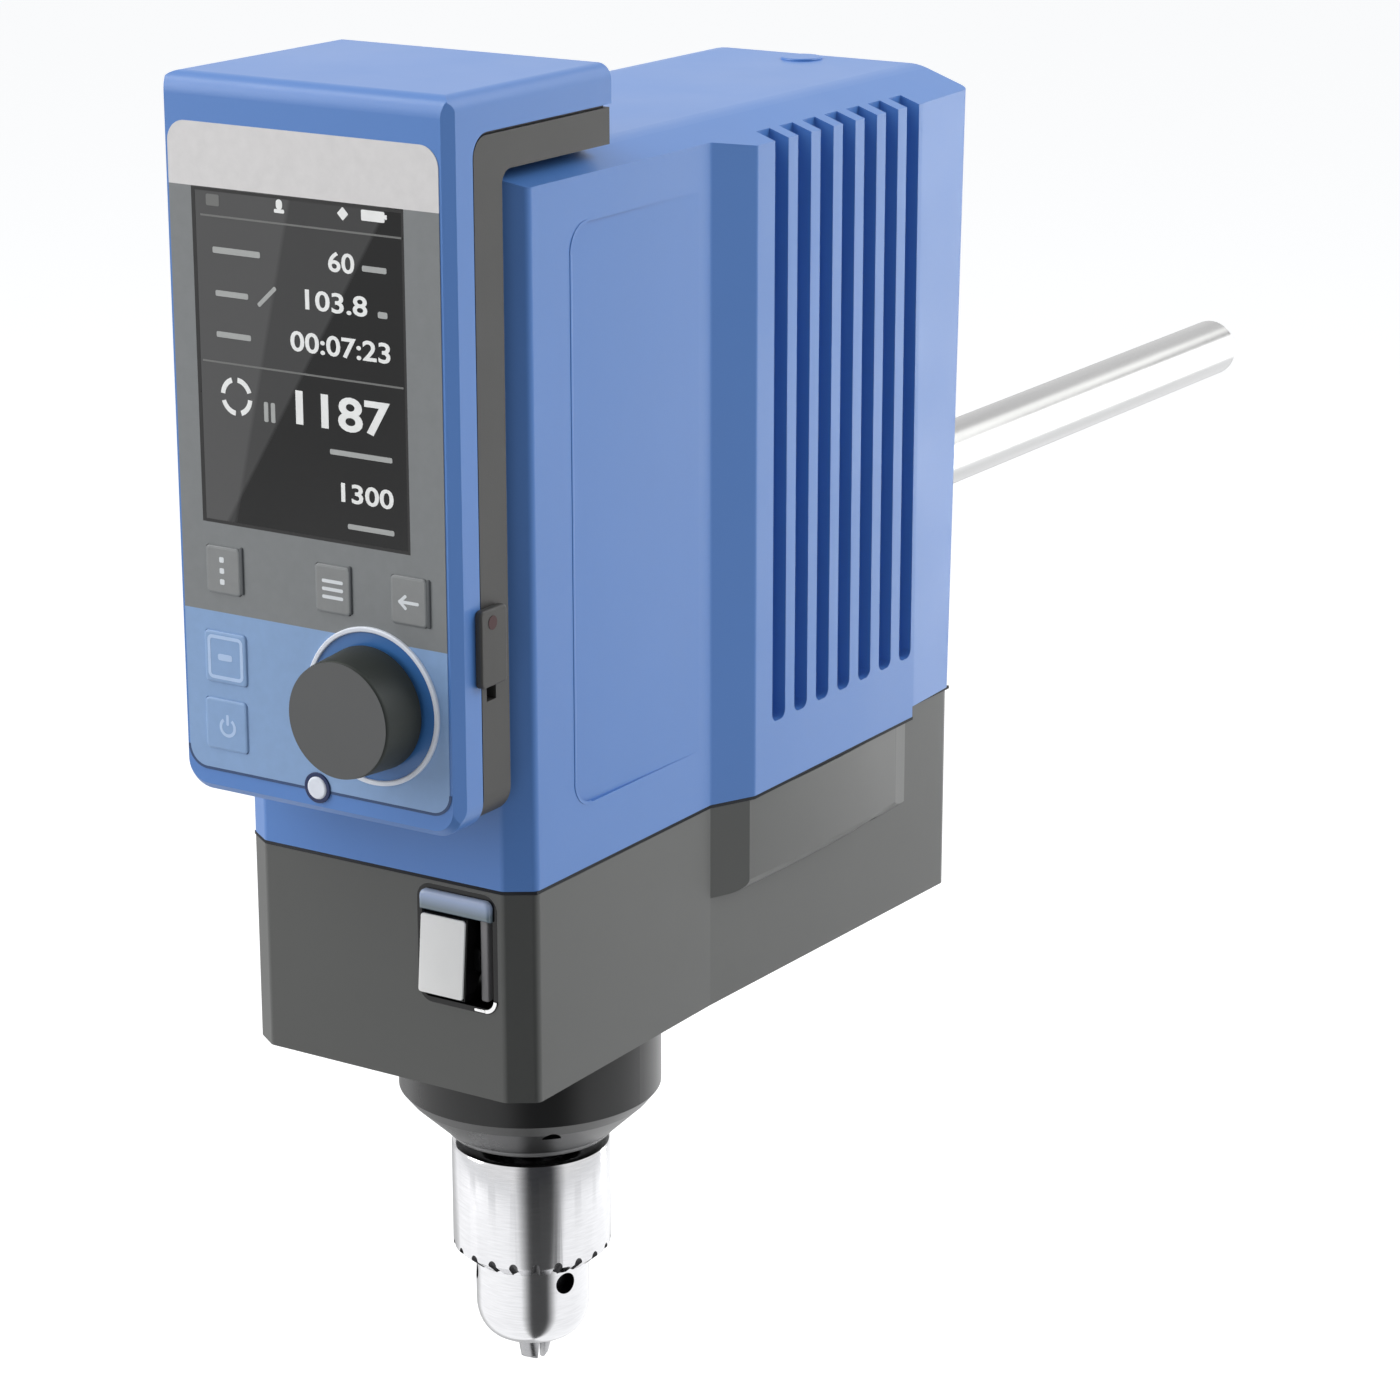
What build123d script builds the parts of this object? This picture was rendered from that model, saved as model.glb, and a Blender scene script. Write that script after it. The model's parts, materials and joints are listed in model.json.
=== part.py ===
from build123d import *
import math
import os

# Overhead stirrer with a keyed chuck, a clip-on control head and a rear support rod.
# Millimetres. The origin lies on the spindle axis at the tips of the chuck jaws,
# +Z is up, -Y is the operator's side and the support rod points along +Y.

# ---------------------------------------------------------------- casing outline
HALF_FRONT = 38.0          # half width of the slim front of both casings
FIN_STEP = 5.0             # how far the fins stand out from the slim front
REAR_STEP = 3.8            # the rear corners stand out less
HALF_FINS = HALF_FRONT + FIN_STEP
HALF_REAR = HALF_FRONT + REAR_STEP
FRONT_Y = -55.0            # front face of base and housing
CHAMFER_X = 6.2            # front corner chamfer, across
CHAMFER_Y = 4.1            # front corner chamfer, front to back
STEP_START_Y = 18.0        # where the side steps out to the fins
STEP_END_Y = 29.0
BAND_Y = 102.0             # front edge of the plain band behind the fins
REAR_SEAM_Y = 122.0        # rear face at the seam and below it
REAR_TOP_Y = 126.5         # rear face at the roof
WALL = 2.6
PLAN_ROUND = 2.0
REAR_ROUND = 2.5

BASE_BOTTOM_Z = 90.5
SEAM_Z = 138.0             # top of the base in front of the band
SEAM_STEP = 2.6            # the seam runs higher behind the band
GASKET_T = 0.8
GASKET_INSET = 0.6
GASKET_W = 1.8
ROOF_Z = 292.4
ROOF_HALF = HALF_FINS - 15.0   # half width of the flat of the roof
SHOULDER_DROP = 5.2        # fall of the roof from its flat to the finned side
ROOF_ROUND = 14.0
CAVITY_TOP_Z = ROOF_Z - 6.4
BASE_FLOOR = 3.2

# ---------------------------------------------------------------- fins, inset panel, vents
SLOT_COUNT = 7
SLOT_PITCH = 9.7
SLOT_W = 5.7
SLOT_FIRST_Y = 36.4
SLOT_DEPTH = 5.0
SLOT_BOTTOM_Z = 154.3
SLOT_ROUND = 2.0
INSET_LOW = (-36.0, 153.0)     # side panel, (y, z)
INSET_HIGH = (13.0, ROOF_Z - 13.4)
INSET_DEPTH = 0.8
INSET_ROUND = 6.0
VENT_COUNT = 7
VENT_PITCH = 7.0
VENT_HALF_W = 24.0
VENT_H = 3.0
VENT_FIRST_Z = ROOF_Z - 78.4

# ---------------------------------------------------------------- bulge of the base under the fins
BULGE_BOTTOM_Z = 116.5
BULGE_MID = (HALF_FINS + 0.2, 66.0)
BULGE_REAR = (HALF_FINS - 0.6, 95.0)
BULGE_FILLET = 2.4

# ---------------------------------------------------------------- spindle and its bearings
SPINDLE_R = 7.5
BORE_R = 5.5               # the spindle is hollow, 11 mm
SPINDLE_LOW_Z = 43.0
SPINDLE_TOP_Z = ROOF_Z - 8.4
BEARING_R = 14.0           # 15 x 28 x 7 ball bearings
BEARING_H = 7.0
LOWER_BEARING_Z = 80.0
RUNNING = 0.08             # radial running clearance
CLEAR = 0.3                # clearance between parts that move past each other

FLANGE_R = 30.4
FLANGE_SHOULDER_Z = 69.0
FLANGE_NOSE_R = 20.0
FLANGE_NOSE_Z = 60.0
FLANGE_BOTTOM_Z = 58.6
FLANGE_BORE_R = 11.5
SPIGOT_R = 24.0
SPIGOT_TOP_Z = 95.0

# ---------------------------------------------------------------- keyed chuck
CHUCK_TOP_Z = 56.0
SLEEVE_R = 18.5
SLEEVE_WALL = 1.8
SLEEVE_BORE_R = SLEEVE_R - SLEEVE_WALL
SLEEVE_BEVEL_Z = 28.6
SLEEVE_BOTTOM_Z = 24.2
SLEEVE_LIP_R = SLEEVE_R - 3.9  # the bevel with the key teeth runs in to here
TOOTH_COUNT = 30
TOOTH_W = 1.7
TOOTH_DEPTH = 1.5
NOSE_R = SLEEVE_R - 5.2
NOSE_ROUND_Z = 14.0
NOSE_TIP_R = 6.6
NOSE_TIP_Z = 4.6
THROAT_R = 5.1
KEY_HOLE_R = 2.2
KEY_HOLE_Z = 19.6
KEY_HOLE_DEPTH = 5.0
KEY_HOLE_ANGLE = -20.0
NUT_LOW_Z = 26.2
NUT_HIGH_Z = 32.4
JAW_COUNT = 3
JAW_R = 3.0
JAW_LEAN = 15.0            # lean of each jaw to the spindle axis, degrees
JAW_TOP_Z = 34.5
JAW_GRIP_R = 1.5           # the jaws stand 3 mm apart at rest
JAW_CLOSE_R = 1.0          # they close by this much, to 1 mm
JAW_ANGLE = 39.0

# ---------------------------------------------------------------- gear pair and motor
MODULE = 1.25
GEAR_TEETH = 48
PINION_TEETH = 16
PRESSURE_ANGLE = 20.0
BACKLASH = 0.16
GEAR_LOW_Z = 106.0
GEAR_H = 8.0
PINION_H = 10.0
PLATE_Z = 119.5
PLATE_T = 7.0
PLATE_HALF = HALF_FRONT - 5.0
PLATE_FRONT_Y = -31.0
PLATE_REAR_Y = 112.0
PLATE_NECK = (100.0, 17.0)     # front edge and half width of the neck under the rod bracket
PILLAR_R = 4.0
PILLAR_SCREW_R = 1.6
PILLARS = ((PLATE_HALF - 4.5, -26.0), (PLATE_HALF - 4.5, 94.0))
MOTOR_R = 29.0
MOTOR_WALL = 2.0
MOTOR_H = 68.0
MOTOR_SHAFT_R = 4.0
MOTOR_BEARING_R = 8.0
MOTOR_BEARING_H = 5.0
ROTOR_R = 16.0
AIR_GAP = 0.5
STACK_END = 10.0           # free height below and above the windings
STACK_H = MOTOR_H - 2 * STACK_END
FAN_BLADES = 9
FAN_R = 26.0
FAN_HUB_R = 9.0
FAN_H = 10.0

# ---------------------------------------------------------------- support rod
ROD_R = 8.0
ROD_Z = 180.0
ROD_END_Y = 356.0
ROD_SHOULDER_Y = 124.0     # the rod is turned down from here to its bracket
ROD_TENON_R = 7.0
ROD_START_Y = 96.0
ROD_CHAMFER = 1.0
MOUNT_FRONT_Y = 92.0
MOUNT_REAR_Y = 118.0
MOUNT_HALF = 14.0
MOUNT_TOP_Z = 200.0

# ---------------------------------------------------------------- base fittings
SWITCH_X = 19.9
SWITCH_HALF_W = 10.5
SWITCH_LOW_Z = 110.0
SWITCH_TOP_Z = 137.2
SWITCH_ROUND = 3.6
POCKET_ROUND = 1.6
BEZEL_T = 1.2
POCKET_DEPTH = 7.0
ROCKER_LOW_Z = 112.3
ROCKER_H = 18.4
ROCKER_W = 12.0
ROCKER_X = 17.2
ROCKER_PROUD = 2.0
ROCKER_TILT = 5.0          # it rests tilted by this much, and swings twice as far
ROCKER_PIN_R = 1.2
LENS_H = 4.6
LENS_PROUD = 1.4
INLET_X = -8.0
INLET_Z = 108.0
INLET_BODY = (27.0, 20.0)
INLET_MOUTH = (24.0, 16.4)
INLET_DEPTH = 20.0
SENSOR_DEPTH = 12.0
SENSOR_X = 15.0
SOCKET_Z = 108.0
BASE_SCREWS = ((HALF_FRONT - 8.5, -39.0), (HALF_FRONT - 8.5, 112.0))
BOSS_R = 6.7
BOSS_H = 24.0              # height of the screw bosses in the housing
SCREW_R = 2.0
SCREW_HEAD_R = 3.6

# ---------------------------------------------------------------- control head
HEAD_HALF = HALF_FRONT - 1.7
HEAD_FRONT_Y = -76.2
HEAD_SHELL_REAR_Y = -67.6
HEAD_FRAME_REAR_Y = -57.2
HEAD_BOTTOM_Z = 156.7
HOOD_RISE = 17.6           # height of the hood above the roof
HEAD_TOP_Z = ROOF_Z + HOOD_RISE
HOOD_REAR_Y = -18.0
HOOD_UNDER_Z = ROOF_Z + 0.9
HOOD_FRAME_T = 8.4         # the dark layer of the hood
HOOD_CAP_T = HEAD_TOP_Z - HOOD_UNDER_Z - HOOD_FRAME_T
HOOD_ROUND = 4.2           # rounding of the upper front edge
HEAD_GAP = 0.7             # dark joint between shell and frame
HEAD_LIP = 0.9
HEAD_EDGE = 1.5
HEAD_BEVEL = (1.5, 2.9)    # bevels of the upright front edges, across and front to back
HEAD_WALL = 2.0
HEAD_CORNERS = (6.5, 3.3)  # corner radii below and above
HEAD_CAVITY_HALF = HEAD_HALF - 2.7
HEAD_CAVITY_Z = (HEAD_BOTTOM_Z + 3.1, HOOD_UNDER_Z - 2.8)
PANEL_HALF = HEAD_HALF - 2.1
PANEL_SPLITS = (HEAD_BOTTOM_Z + 5.3, HEAD_BOTTOM_Z + 40.3, ROOF_Z - 5.2, ROOF_Z + 8.0)
PANEL_T = 0.75
PANEL_PROUD = 0.15
PANEL_CORNER = 4.5
GLASS_LOW = (7.9 - HEAD_HALF, 216.4)
GLASS_HIGH = (HEAD_HALF - 10.8, PANEL_SPLITS[2] - 0.2)
GLASS_ROUND = 1.5
SOFT_KEYS = ((-23.2, 206.3), (5.6, 206.4), (25.0, 206.7))
SOFT_KEY_SIZE = (8.6, 9.8)
SQUARE_KEYS = ((-23.4, 187.1), (-23.8, 172.2))
SQUARE_KEY_SIZE = (10.6, 10.8)
KEY_PROUD = 0.4
KEY_TRAVEL = 0.7
KNOB_X = 15.1
KNOB_Z = 182.7
KNOB_R = 13.3
KNOB_H = 11.0
KNOB_GAP = 1.4
KNOB_PRESS = 0.8
DIAL_R = 17.0
DIAL_RIM = 1.1
ENCODER_R = 3.0
BUSH_R = 4.5
LED_Z = HEAD_BOTTOM_Z + 5.7
LED_R = 2.5
LED_RING = 0.7
BOARD_Y = -69.0
BOARD_T = 1.6
BOARD_HALF = HEAD_HALF - 10.3
BATTERY_HALF = BOARD_HALF - 2.0
BATTERY_Z = (180.0, 232.0)
SLIDER_Y = (-69.6, -60.4)
SLIDER_Z = (188.0, 204.6)
SLIDER_T = 1.5
SLIDER_TRAVEL = 4.5
RAIL_HALF = 12.0
RAIL_T = 4.2
DOCK_HALF = 12.0
DOCK_Z = (238.0, 254.0)
HEAD_SCREWS = ((HEAD_HALF - 5.0, HEAD_CAVITY_Z[0] + 2.3), (HEAD_HALF - 5.0, HEAD_CAVITY_Z[1] - 4.5))
HEAD_BOSS_R = 2.6
HEAD_SCREW_R = 1.0
HEAD_SCREW_HEAD_R = 1.8

# ---------------------------------------------------------------- derived values
SEAM_TOP_Z = SEAM_Z + GASKET_T
BASE_REAR_TOP_Z = SEAM_Z + SEAM_STEP
HOUSING_REAR_LOW_Z = BASE_REAR_TOP_Z + GASKET_T
CAVITY_HALF = HALF_FRONT - WALL
MOTOR_Y = MODULE * (GEAR_TEETH + PINION_TEETH) / 2
PLATE_TOP_Z = PLATE_Z + PLATE_T
BASE_FLOOR_Z = BASE_BOTTOM_Z + BASE_FLOOR
PANEL_BACK_Y = HEAD_FRONT_Y + PANEL_T - PANEL_PROUD
PANEL_FACE_Y = HEAD_FRONT_Y - PANEL_PROUD
SHELL_INNER_Y = HEAD_FRONT_Y + HEAD_WALL


# ---------------------------------------------------------------- helpers
def block(x, y, z):
    """A box between two limits on each axis."""
    centre = [(low + high) / 2 for low, high in (x, y, z)]
    return Pos(*centre) * Box(*[high - low for low, high in (x, y, z)])


def post(radius, z, at=(0.0, 0.0)):
    """An upright cylinder between two heights."""
    return Pos(at[0], at[1], (z[0] + z[1]) / 2) * Cylinder(radius, z[1] - z[0])


def ring(outer, inner, z, at=(0.0, 0.0)):
    """An upright ring between two heights."""
    return post(outer, z, at) - post(inner, z, at)


def bar_y(radius, y, x, z):
    """A cylinder that runs front to back."""
    return Pos(x, (y[0] + y[1]) / 2, z) * Rot(90, 0, 0) * Cylinder(radius, y[1] - y[0])


def bar_x(radius, x, y, z):
    """A cylinder that runs across."""
    return Pos((x[0] + x[1]) / 2, y, z) * Rot(0, 90, 0) * Cylinder(radius, x[1] - x[0])


def sheet_xz(low, high, y, corner=0.0):
    """A plate that faces front and back, between (x, z) corners, with rounded corners."""
    centre = Pos((low[0] + high[0]) / 2, y[1], (low[1] + high[1]) / 2)
    width = high[0] - low[0]
    height = high[1] - low[1]
    face = Rectangle(width, height)
    if corner:
        face = RectangleRounded(width, height, corner)
    return centre * extrude(Plane.XZ * face, y[1] - y[0])


def prism_up(face, z):
    """A plan outline extruded between two heights."""
    return Pos(0, 0, z[0]) * extrude(face, z[1] - z[0])


def prism_across(points, half):
    """A (y, z) outline extruded to both sides."""
    return extrude(Plane.YZ * Polygon(*points, align=None), half, both=True)


def prism_back(points, y):
    """An (x, z) outline extruded front to back."""
    return Pos(0, y[1], 0) * extrude(Plane.XZ * Polygon(*points, align=None), y[1] - y[0])


def both_sides(shape):
    """A shape and its mirror image across the middle plane."""
    return shape + mirror(shape, Plane.YZ)


def mirrored_plan(right):
    """A closed plan outline from its right-hand half, front to back."""
    left = [(-x, y) for x, y in reversed(right)]
    return Polygon(*right, *left, align=None)


def revolved(points):
    """A solid of revolution about the spindle axis from an (r, z) outline."""
    return revolve(Plane.XZ * Polygon(*points, align=None), Axis.Z)


# ---------------------------------------------------------------- casings
def front_corner(inset=0.0):
    """The chamfered front corner of the casing plan, moved in by a wall."""
    chamfer_in = inset * 0.55
    return [
        (HALF_FRONT - CHAMFER_X - chamfer_in, FRONT_Y + inset),
        (HALF_FRONT - inset, FRONT_Y + CHAMFER_Y + chamfer_in),
    ]


def housing_plan(inset=0.0):
    """Plan of the blue housing, which steps out to the fins."""
    plan = mirrored_plan(front_corner(inset) + [
        (HALF_FRONT - inset, STEP_START_Y),
        (HALF_FINS - inset, STEP_END_Y),
        (HALF_FINS - inset, BAND_Y),
        (HALF_REAR - inset, REAR_TOP_Y - inset),
    ])
    corners = [v for v in plan.vertices() if v.Y < BAND_Y + 1]
    return fillet(corners, PLAN_ROUND)


def base_plan(inset=0.0):
    """Plan of the lower casing, which widens gently to the rear."""
    plan = mirrored_plan(front_corner(inset) + [
        (HALF_FRONT - inset, STEP_START_Y),
        (HALF_REAR - inset, REAR_SEAM_Y - inset),
    ])
    front = [v for v in plan.vertices() if v.Y < 0]
    plan = fillet(front, PLAN_ROUND)
    rear = [v for v in plan.vertices() if v.Y > BAND_Y]
    return fillet(rear, REAR_ROUND)


def cavity_plan():
    """Plan of the hollow inside both casings."""
    return mirrored_plan(front_corner(WALL) + [(CAVITY_HALF, REAR_SEAM_Y - WALL)])


def rear_slope(z):
    """The rear face leans back as it rises from the seam to the roof."""
    return REAR_SEAM_Y + (REAR_TOP_Y - REAR_SEAM_Y) * (z - SEAM_Z) / (ROOF_Z - SEAM_Z)


def roof_profile():
    """The front view of the roof: a flat with shoulders that fall to the sides."""
    side = HALF_FINS + 1
    low = ROOF_Z - SHOULDER_DROP * (side - ROOF_HALF) / (HALF_FINS - ROOF_HALF)
    outline = Polygon(
        (-side, SEAM_Z), (side, SEAM_Z), (side, low), (ROOF_HALF, ROOF_Z),
        (-ROOF_HALF, ROOF_Z), (-side, low), align=None)
    crown = [v for v in outline.vertices() if v.Y > ROOF_Z - 0.1]
    return fillet(crown, ROOF_ROUND)


def fin_slots():
    """The cooling slots of the right side, open at the roof."""
    top = ROOF_Z + 5
    face = Rectangle(SLOT_W, top - SLOT_BOTTOM_Z)
    low = [v for v in face.vertices() if v.Y < 0]
    face = fillet(low, SLOT_ROUND)
    slot = extrude(Plane.YZ * face, SLOT_DEPTH + 2)
    first = SLOT_FIRST_Y + SLOT_W / 2
    middle = (top + SLOT_BOTTOM_Z) / 2
    return [Pos(HALF_FINS - SLOT_DEPTH, first + i * SLOT_PITCH, middle) * slot for i in range(SLOT_COUNT)]


def side_inset():
    """The shallow panel in the slim part of the right side, which runs out towards the fins."""
    width = INSET_HIGH[0] - INSET_LOW[0]
    height = INSET_HIGH[1] - INSET_LOW[1]
    face = Rectangle(width, height)
    front = [v for v in face.vertices() if v.X < 0]
    face = fillet(front, INSET_ROUND)
    panel = extrude(Plane.YZ * face, INSET_DEPTH + 2)
    panel = Pos(HALF_FRONT - INSET_DEPTH, INSET_LOW[0] + width / 2, INSET_LOW[1] + height / 2) * panel
    wedge = Polygon(
        (HALF_FRONT - INSET_DEPTH, INSET_LOW[0]), (HALF_FRONT + 2, INSET_LOW[0]),
        (HALF_FRONT + 2, INSET_HIGH[0]), (HALF_FRONT, INSET_HIGH[0]), align=None)
    return panel & prism_up(wedge, (INSET_LOW[1] - 1, INSET_HIGH[1] + 1))


def make_main_housing():
    """Upper casing with fins, inset side panels, rear vents and a shouldered roof."""
    body = prism_up(housing_plan(), (SEAM_TOP_Z, ROOF_Z + 2))
    body &= Pos(0, REAR_TOP_Y + 5, 0) * extrude(Plane.XZ * roof_profile(), REAR_TOP_Y - FRONT_Y + 10)
    body -= prism_across([
        (rear_slope(SEAM_Z), SEAM_Z), (rear_slope(ROOF_Z + 4), ROOF_Z + 4),
        (REAR_TOP_Y + 9, ROOF_Z + 4), (REAR_TOP_Y + 9, SEAM_Z)], HALF_FINS + 5)
    rear = [e for e in body.edges() if e.center().Y > BAND_Y + 15 and e.length > 100]
    body = fillet([e for e in rear if abs(e.center().X) > HALF_FRONT], REAR_ROUND)
    body -= block((-50, 50), (BAND_Y - GASKET_T / 2, REAR_TOP_Y + 9), (SEAM_Z, HOUSING_REAR_LOW_Z))
    body -= prism_up(cavity_plan(), (SEAM_Z, CAVITY_TOP_Z))
    for x, y in BASE_SCREWS:
        boss = post(BOSS_R, (HOUSING_REAR_LOW_Z, HOUSING_REAR_LOW_Z + BOSS_H), (x, y))
        body += both_sides(boss)
        body -= both_sides(post(SCREW_R, (SEAM_Z, HOUSING_REAR_LOW_Z + 16), (x, y)))
    cuts = [side_inset()] + fin_slots()
    for cut in cuts:
        body -= cut
        body -= mirror(cut, Plane.YZ)
    for i in range(VENT_COUNT):
        z = VENT_FIRST_Z + i * VENT_PITCH
        body -= sheet_xz((-VENT_HALF_W, z), (VENT_HALF_W, z + VENT_H), (REAR_SEAM_Y - WALL - 1, 130), 1.4)
    body -= bar_y(ROD_R + CLEAR, (REAR_SEAM_Y - 6, REAR_TOP_Y + 2), 0, ROD_Z)
    body -= post(PORT_R, (CAVITY_TOP_Z - 1, ROOF_Z + 2))
    body -= post(PLUG_R, (ROOF_Z - PLUG_DEPTH, ROOF_Z + 2), (0, PLUG_Y))
    body -= sheet_xz((-DOCK_HALF, DOCK_Z[0]), (DOCK_HALF, DOCK_Z[1]), (FRONT_Y - 1, FRONT_Y + WALL + 1), 1.0)
    return body


def bulge():
    """The rounded swelling of the lower casing under the right-hand fins."""
    inner = HALF_FRONT - 1
    step = Line((HALF_FRONT, STEP_START_Y), (HALF_FINS - 0.6, STEP_END_Y - 1.2))
    side = ThreePointArc(step @ 1, BULGE_MID, BULGE_REAR)
    rear = Line(side @ 1, (HALF_REAR - 0.9, BAND_Y + 0.4))
    back = Polyline(rear @ 1, (inner, BAND_Y + 0.4), (inner, STEP_START_Y), step @ 0)
    pad = prism_up(make_face(step + side + rear + back), (BULGE_BOTTOM_Z, SEAM_Z))
    low = [e for e in pad.edges() if e.center().Z < BULGE_BOTTOM_Z + 0.1 and e.center().X > HALF_FRONT + 0.5]
    return fillet([e for e in low if e.length > 20], BULGE_FILLET)


def make_base_housing():
    """Lower casing: a tray with side bulges, switch pocket and rear sockets."""
    body = prism_up(base_plan(), (BASE_BOTTOM_Z, BASE_REAR_TOP_Z))
    body += both_sides(bulge())
    body -= block((-50, 50), (FRONT_Y - 1, BAND_Y + GASKET_T / 2), (SEAM_Z, BASE_REAR_TOP_Z + 1))
    body -= prism_up(cavity_plan(), (BASE_FLOOR_Z, BASE_REAR_TOP_Z + 1))
    for x, y in BASE_SCREWS:
        top = SEAM_Z if y < BAND_Y else BASE_REAR_TOP_Z
        body += both_sides(post(BOSS_R, (BASE_FLOOR_Z - 1, top), (x, y)))
        body -= both_sides(post(SCREW_R, (BASE_BOTTOM_Z, top + 1), (x, y)))
        body -= both_sides(post(SCREW_HEAD_R + 0.2, (BASE_BOTTOM_Z - 1, BASE_BOTTOM_Z + 4), (x, y)))
    body -= post(SPIGOT_R, (BASE_BOTTOM_Z - 1, BASE_FLOOR_Z + 1))
    low = (SWITCH_X - SWITCH_HALF_W, SWITCH_LOW_Z)
    high = (SWITCH_X + SWITCH_HALF_W, SWITCH_TOP_Z)
    body -= sheet_xz(low, high, (FRONT_Y - 1, FRONT_Y + POCKET_DEPTH + 2), SWITCH_ROUND)
    half_w = INLET_BODY[0] / 2
    half_h = INLET_BODY[1] / 2
    wall = (REAR_SEAM_Y - WALL - 1, REAR_SEAM_Y + 1)
    body -= sheet_xz((INLET_X - half_w, INLET_Z - half_h), (INLET_X + half_w, INLET_Z + half_h), wall)
    body -= bar_y(SENSOR_R, wall, SENSOR_X, SOCKET_Z)
    return body


def make_seam_gasket():
    """Dark strip in the joint of the two casings, with the step at the rear band."""
    outer = offset(base_plan(), -GASKET_INSET)
    inner = offset(base_plan(), -GASKET_INSET - GASKET_W)
    body = prism_up(outer, (SEAM_Z, HOUSING_REAR_LOW_Z))
    body -= prism_up(inner, (SEAM_Z - 1, HOUSING_REAR_LOW_Z + 1))
    half = GASKET_T / 2
    body -= block((-50, 50), (FRONT_Y - 1, BAND_Y - half), (SEAM_TOP_Z, HOUSING_REAR_LOW_Z + 1))
    body -= block((-50, 50), (BAND_Y + half, REAR_TOP_Y + 9), (SEAM_Z - 1, BASE_REAR_TOP_Z))
    return body


# ---------------------------------------------------------------- roof fittings
PLUG_Y = 119.0
PLUG_R = 5.0
PLUG_DEPTH = 2.4
PORT_R = 8.4
PORT_CAP_R = 10.5
RAIL_LENGTH = (-51.0, -21.0)


def make_roof_plug():
    """Blanking plug near the rear edge of the roof."""
    body = post(PLUG_R, (ROOF_Z - PLUG_DEPTH, ROOF_Z + 0.6), (0, PLUG_Y))
    top = [e for e in body.edges() if e.center().Z > ROOF_Z]
    return fillet(top, 0.4)


def make_spindle_port_cap():
    """Push-in cover of the hole through which a long shaft leaves the hollow spindle."""
    cap = post(PORT_CAP_R, (ROOF_Z, ROOF_Z + 1.4)) + post(PORT_R, (CAVITY_TOP_Z, ROOF_Z))
    cap -= post(PORT_R - 1.6, (CAVITY_TOP_Z - 1, ROOF_Z - 1.2))
    top = [e for e in cap.edges() if e.center().Z > ROOF_Z + 1]
    return fillet(top, 0.8)


def make_docking_rail():
    """Rail with undercut sides on the roof, which the hood of the control head slides over."""
    half = RAIL_HALF
    neck = half - 3
    step = RAIL_T / 2
    top = ROOF_Z + RAIL_T
    rail = prism_back([
        (-neck, ROOF_Z), (neck, ROOF_Z), (neck, ROOF_Z + step), (half, ROOF_Z + step),
        (half, top), (-half, top), (-half, ROOF_Z + step), (-neck, ROOF_Z + step)], RAIL_LENGTH)
    return rail


def make_dock_socket():
    """Socket block in the front wall for the plug of the control head."""
    body = sheet_xz((-DOCK_HALF, DOCK_Z[0]), (DOCK_HALF, DOCK_Z[1]), (FRONT_Y, FRONT_Y + 10), 1.0)
    mouth = (FRONT_Y - 1, FRONT_Y + 7)
    body -= sheet_xz((-DOCK_HALF + 2.4, DOCK_Z[0] + 2.4), (DOCK_HALF - 2.4, DOCK_Z[1] - 2.4), mouth, 0.8)
    middle = (DOCK_Z[0] + DOCK_Z[1]) / 2
    for i in range(6):
        body -= bar_y(0.6, (FRONT_Y + 6, FRONT_Y + 9), -6.25 + 2.5 * i, middle)
    return body


# ---------------------------------------------------------------- spindle and drive
def make_spindle_flange():
    """Turned flange that carries the lower bearing below the base."""
    body = revolved([
        (FLANGE_BORE_R, FLANGE_BOTTOM_Z), (FLANGE_NOSE_R - 1.2, FLANGE_BOTTOM_Z),
        (FLANGE_NOSE_R, FLANGE_NOSE_Z), (FLANGE_R - 2.4, FLANGE_SHOULDER_Z - 1.4),
        (FLANGE_R, FLANGE_SHOULDER_Z + 1.6), (FLANGE_R, BASE_BOTTOM_Z),
        (SPIGOT_R, BASE_BOTTOM_Z), (SPIGOT_R, SPIGOT_TOP_Z), (BEARING_R, SPIGOT_TOP_Z),
        (BEARING_R, LOWER_BEARING_Z), (FLANGE_BORE_R, LOWER_BEARING_Z)])
    for i in range(4):
        turn = Rot(0, 0, 45 + 90 * i)
        body -= turn * post(2.2, (FLANGE_SHOULDER_Z - 3, FLANGE_SHOULDER_Z + 9), (FLANGE_R - 4.2, 0))
    return body


def make_flange_screws():
    """Socket screws that hold the flange to the base."""
    screws = []
    for i in range(4):
        angle = math.radians(45 + 90 * i)
        at = ((FLANGE_R - 4.2) * math.cos(angle), (FLANGE_R - 4.2) * math.sin(angle))
        top = FLANGE_SHOULDER_Z + 9
        screw = post(2.2, (top - 3, top), at)
        screw -= Pos(at[0], at[1], top - 3) * extrude(RegularPolygon(1.2, 6), 1.6)
        screws.append(screw)
    return Compound(screws)


def make_ball_bearing(z_low, at=(0.0, 0.0), outer=BEARING_R, inner=SPINDLE_R, height=BEARING_H):
    """A shielded ball bearing as one ring with shallow shield grooves."""
    body = ring(outer, inner + RUNNING, (z_low, z_low + height), at)
    wall = outer - inner
    for z in ((z_low - 1, z_low + 0.5), (z_low + height - 0.5, z_low + height + 1)):
        body -= ring(outer - wall * 0.22, inner + wall * 0.25, z, at)
    return body


def make_hollow_spindle():
    """Hollow spindle from the chuck to the roof, with a shoulder above the gear."""
    shoulder = GEAR_LOW_Z + GEAR_H
    body = post(SPINDLE_R, (SPINDLE_LOW_Z, SPINDLE_TOP_Z))
    body += post(SPINDLE_R + 2.5, (shoulder, shoulder + 4))
    body += post(SPINDLE_R + 2.5, (LOWER_BEARING_Z - 5, LOWER_BEARING_Z - 0.3))
    return body - post(BORE_R, (SPINDLE_LOW_Z - 1, SPINDLE_TOP_Z + 1))


def involute(angle):
    """Involute function of a pressure angle in radians."""
    return math.tan(angle) - angle


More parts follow.
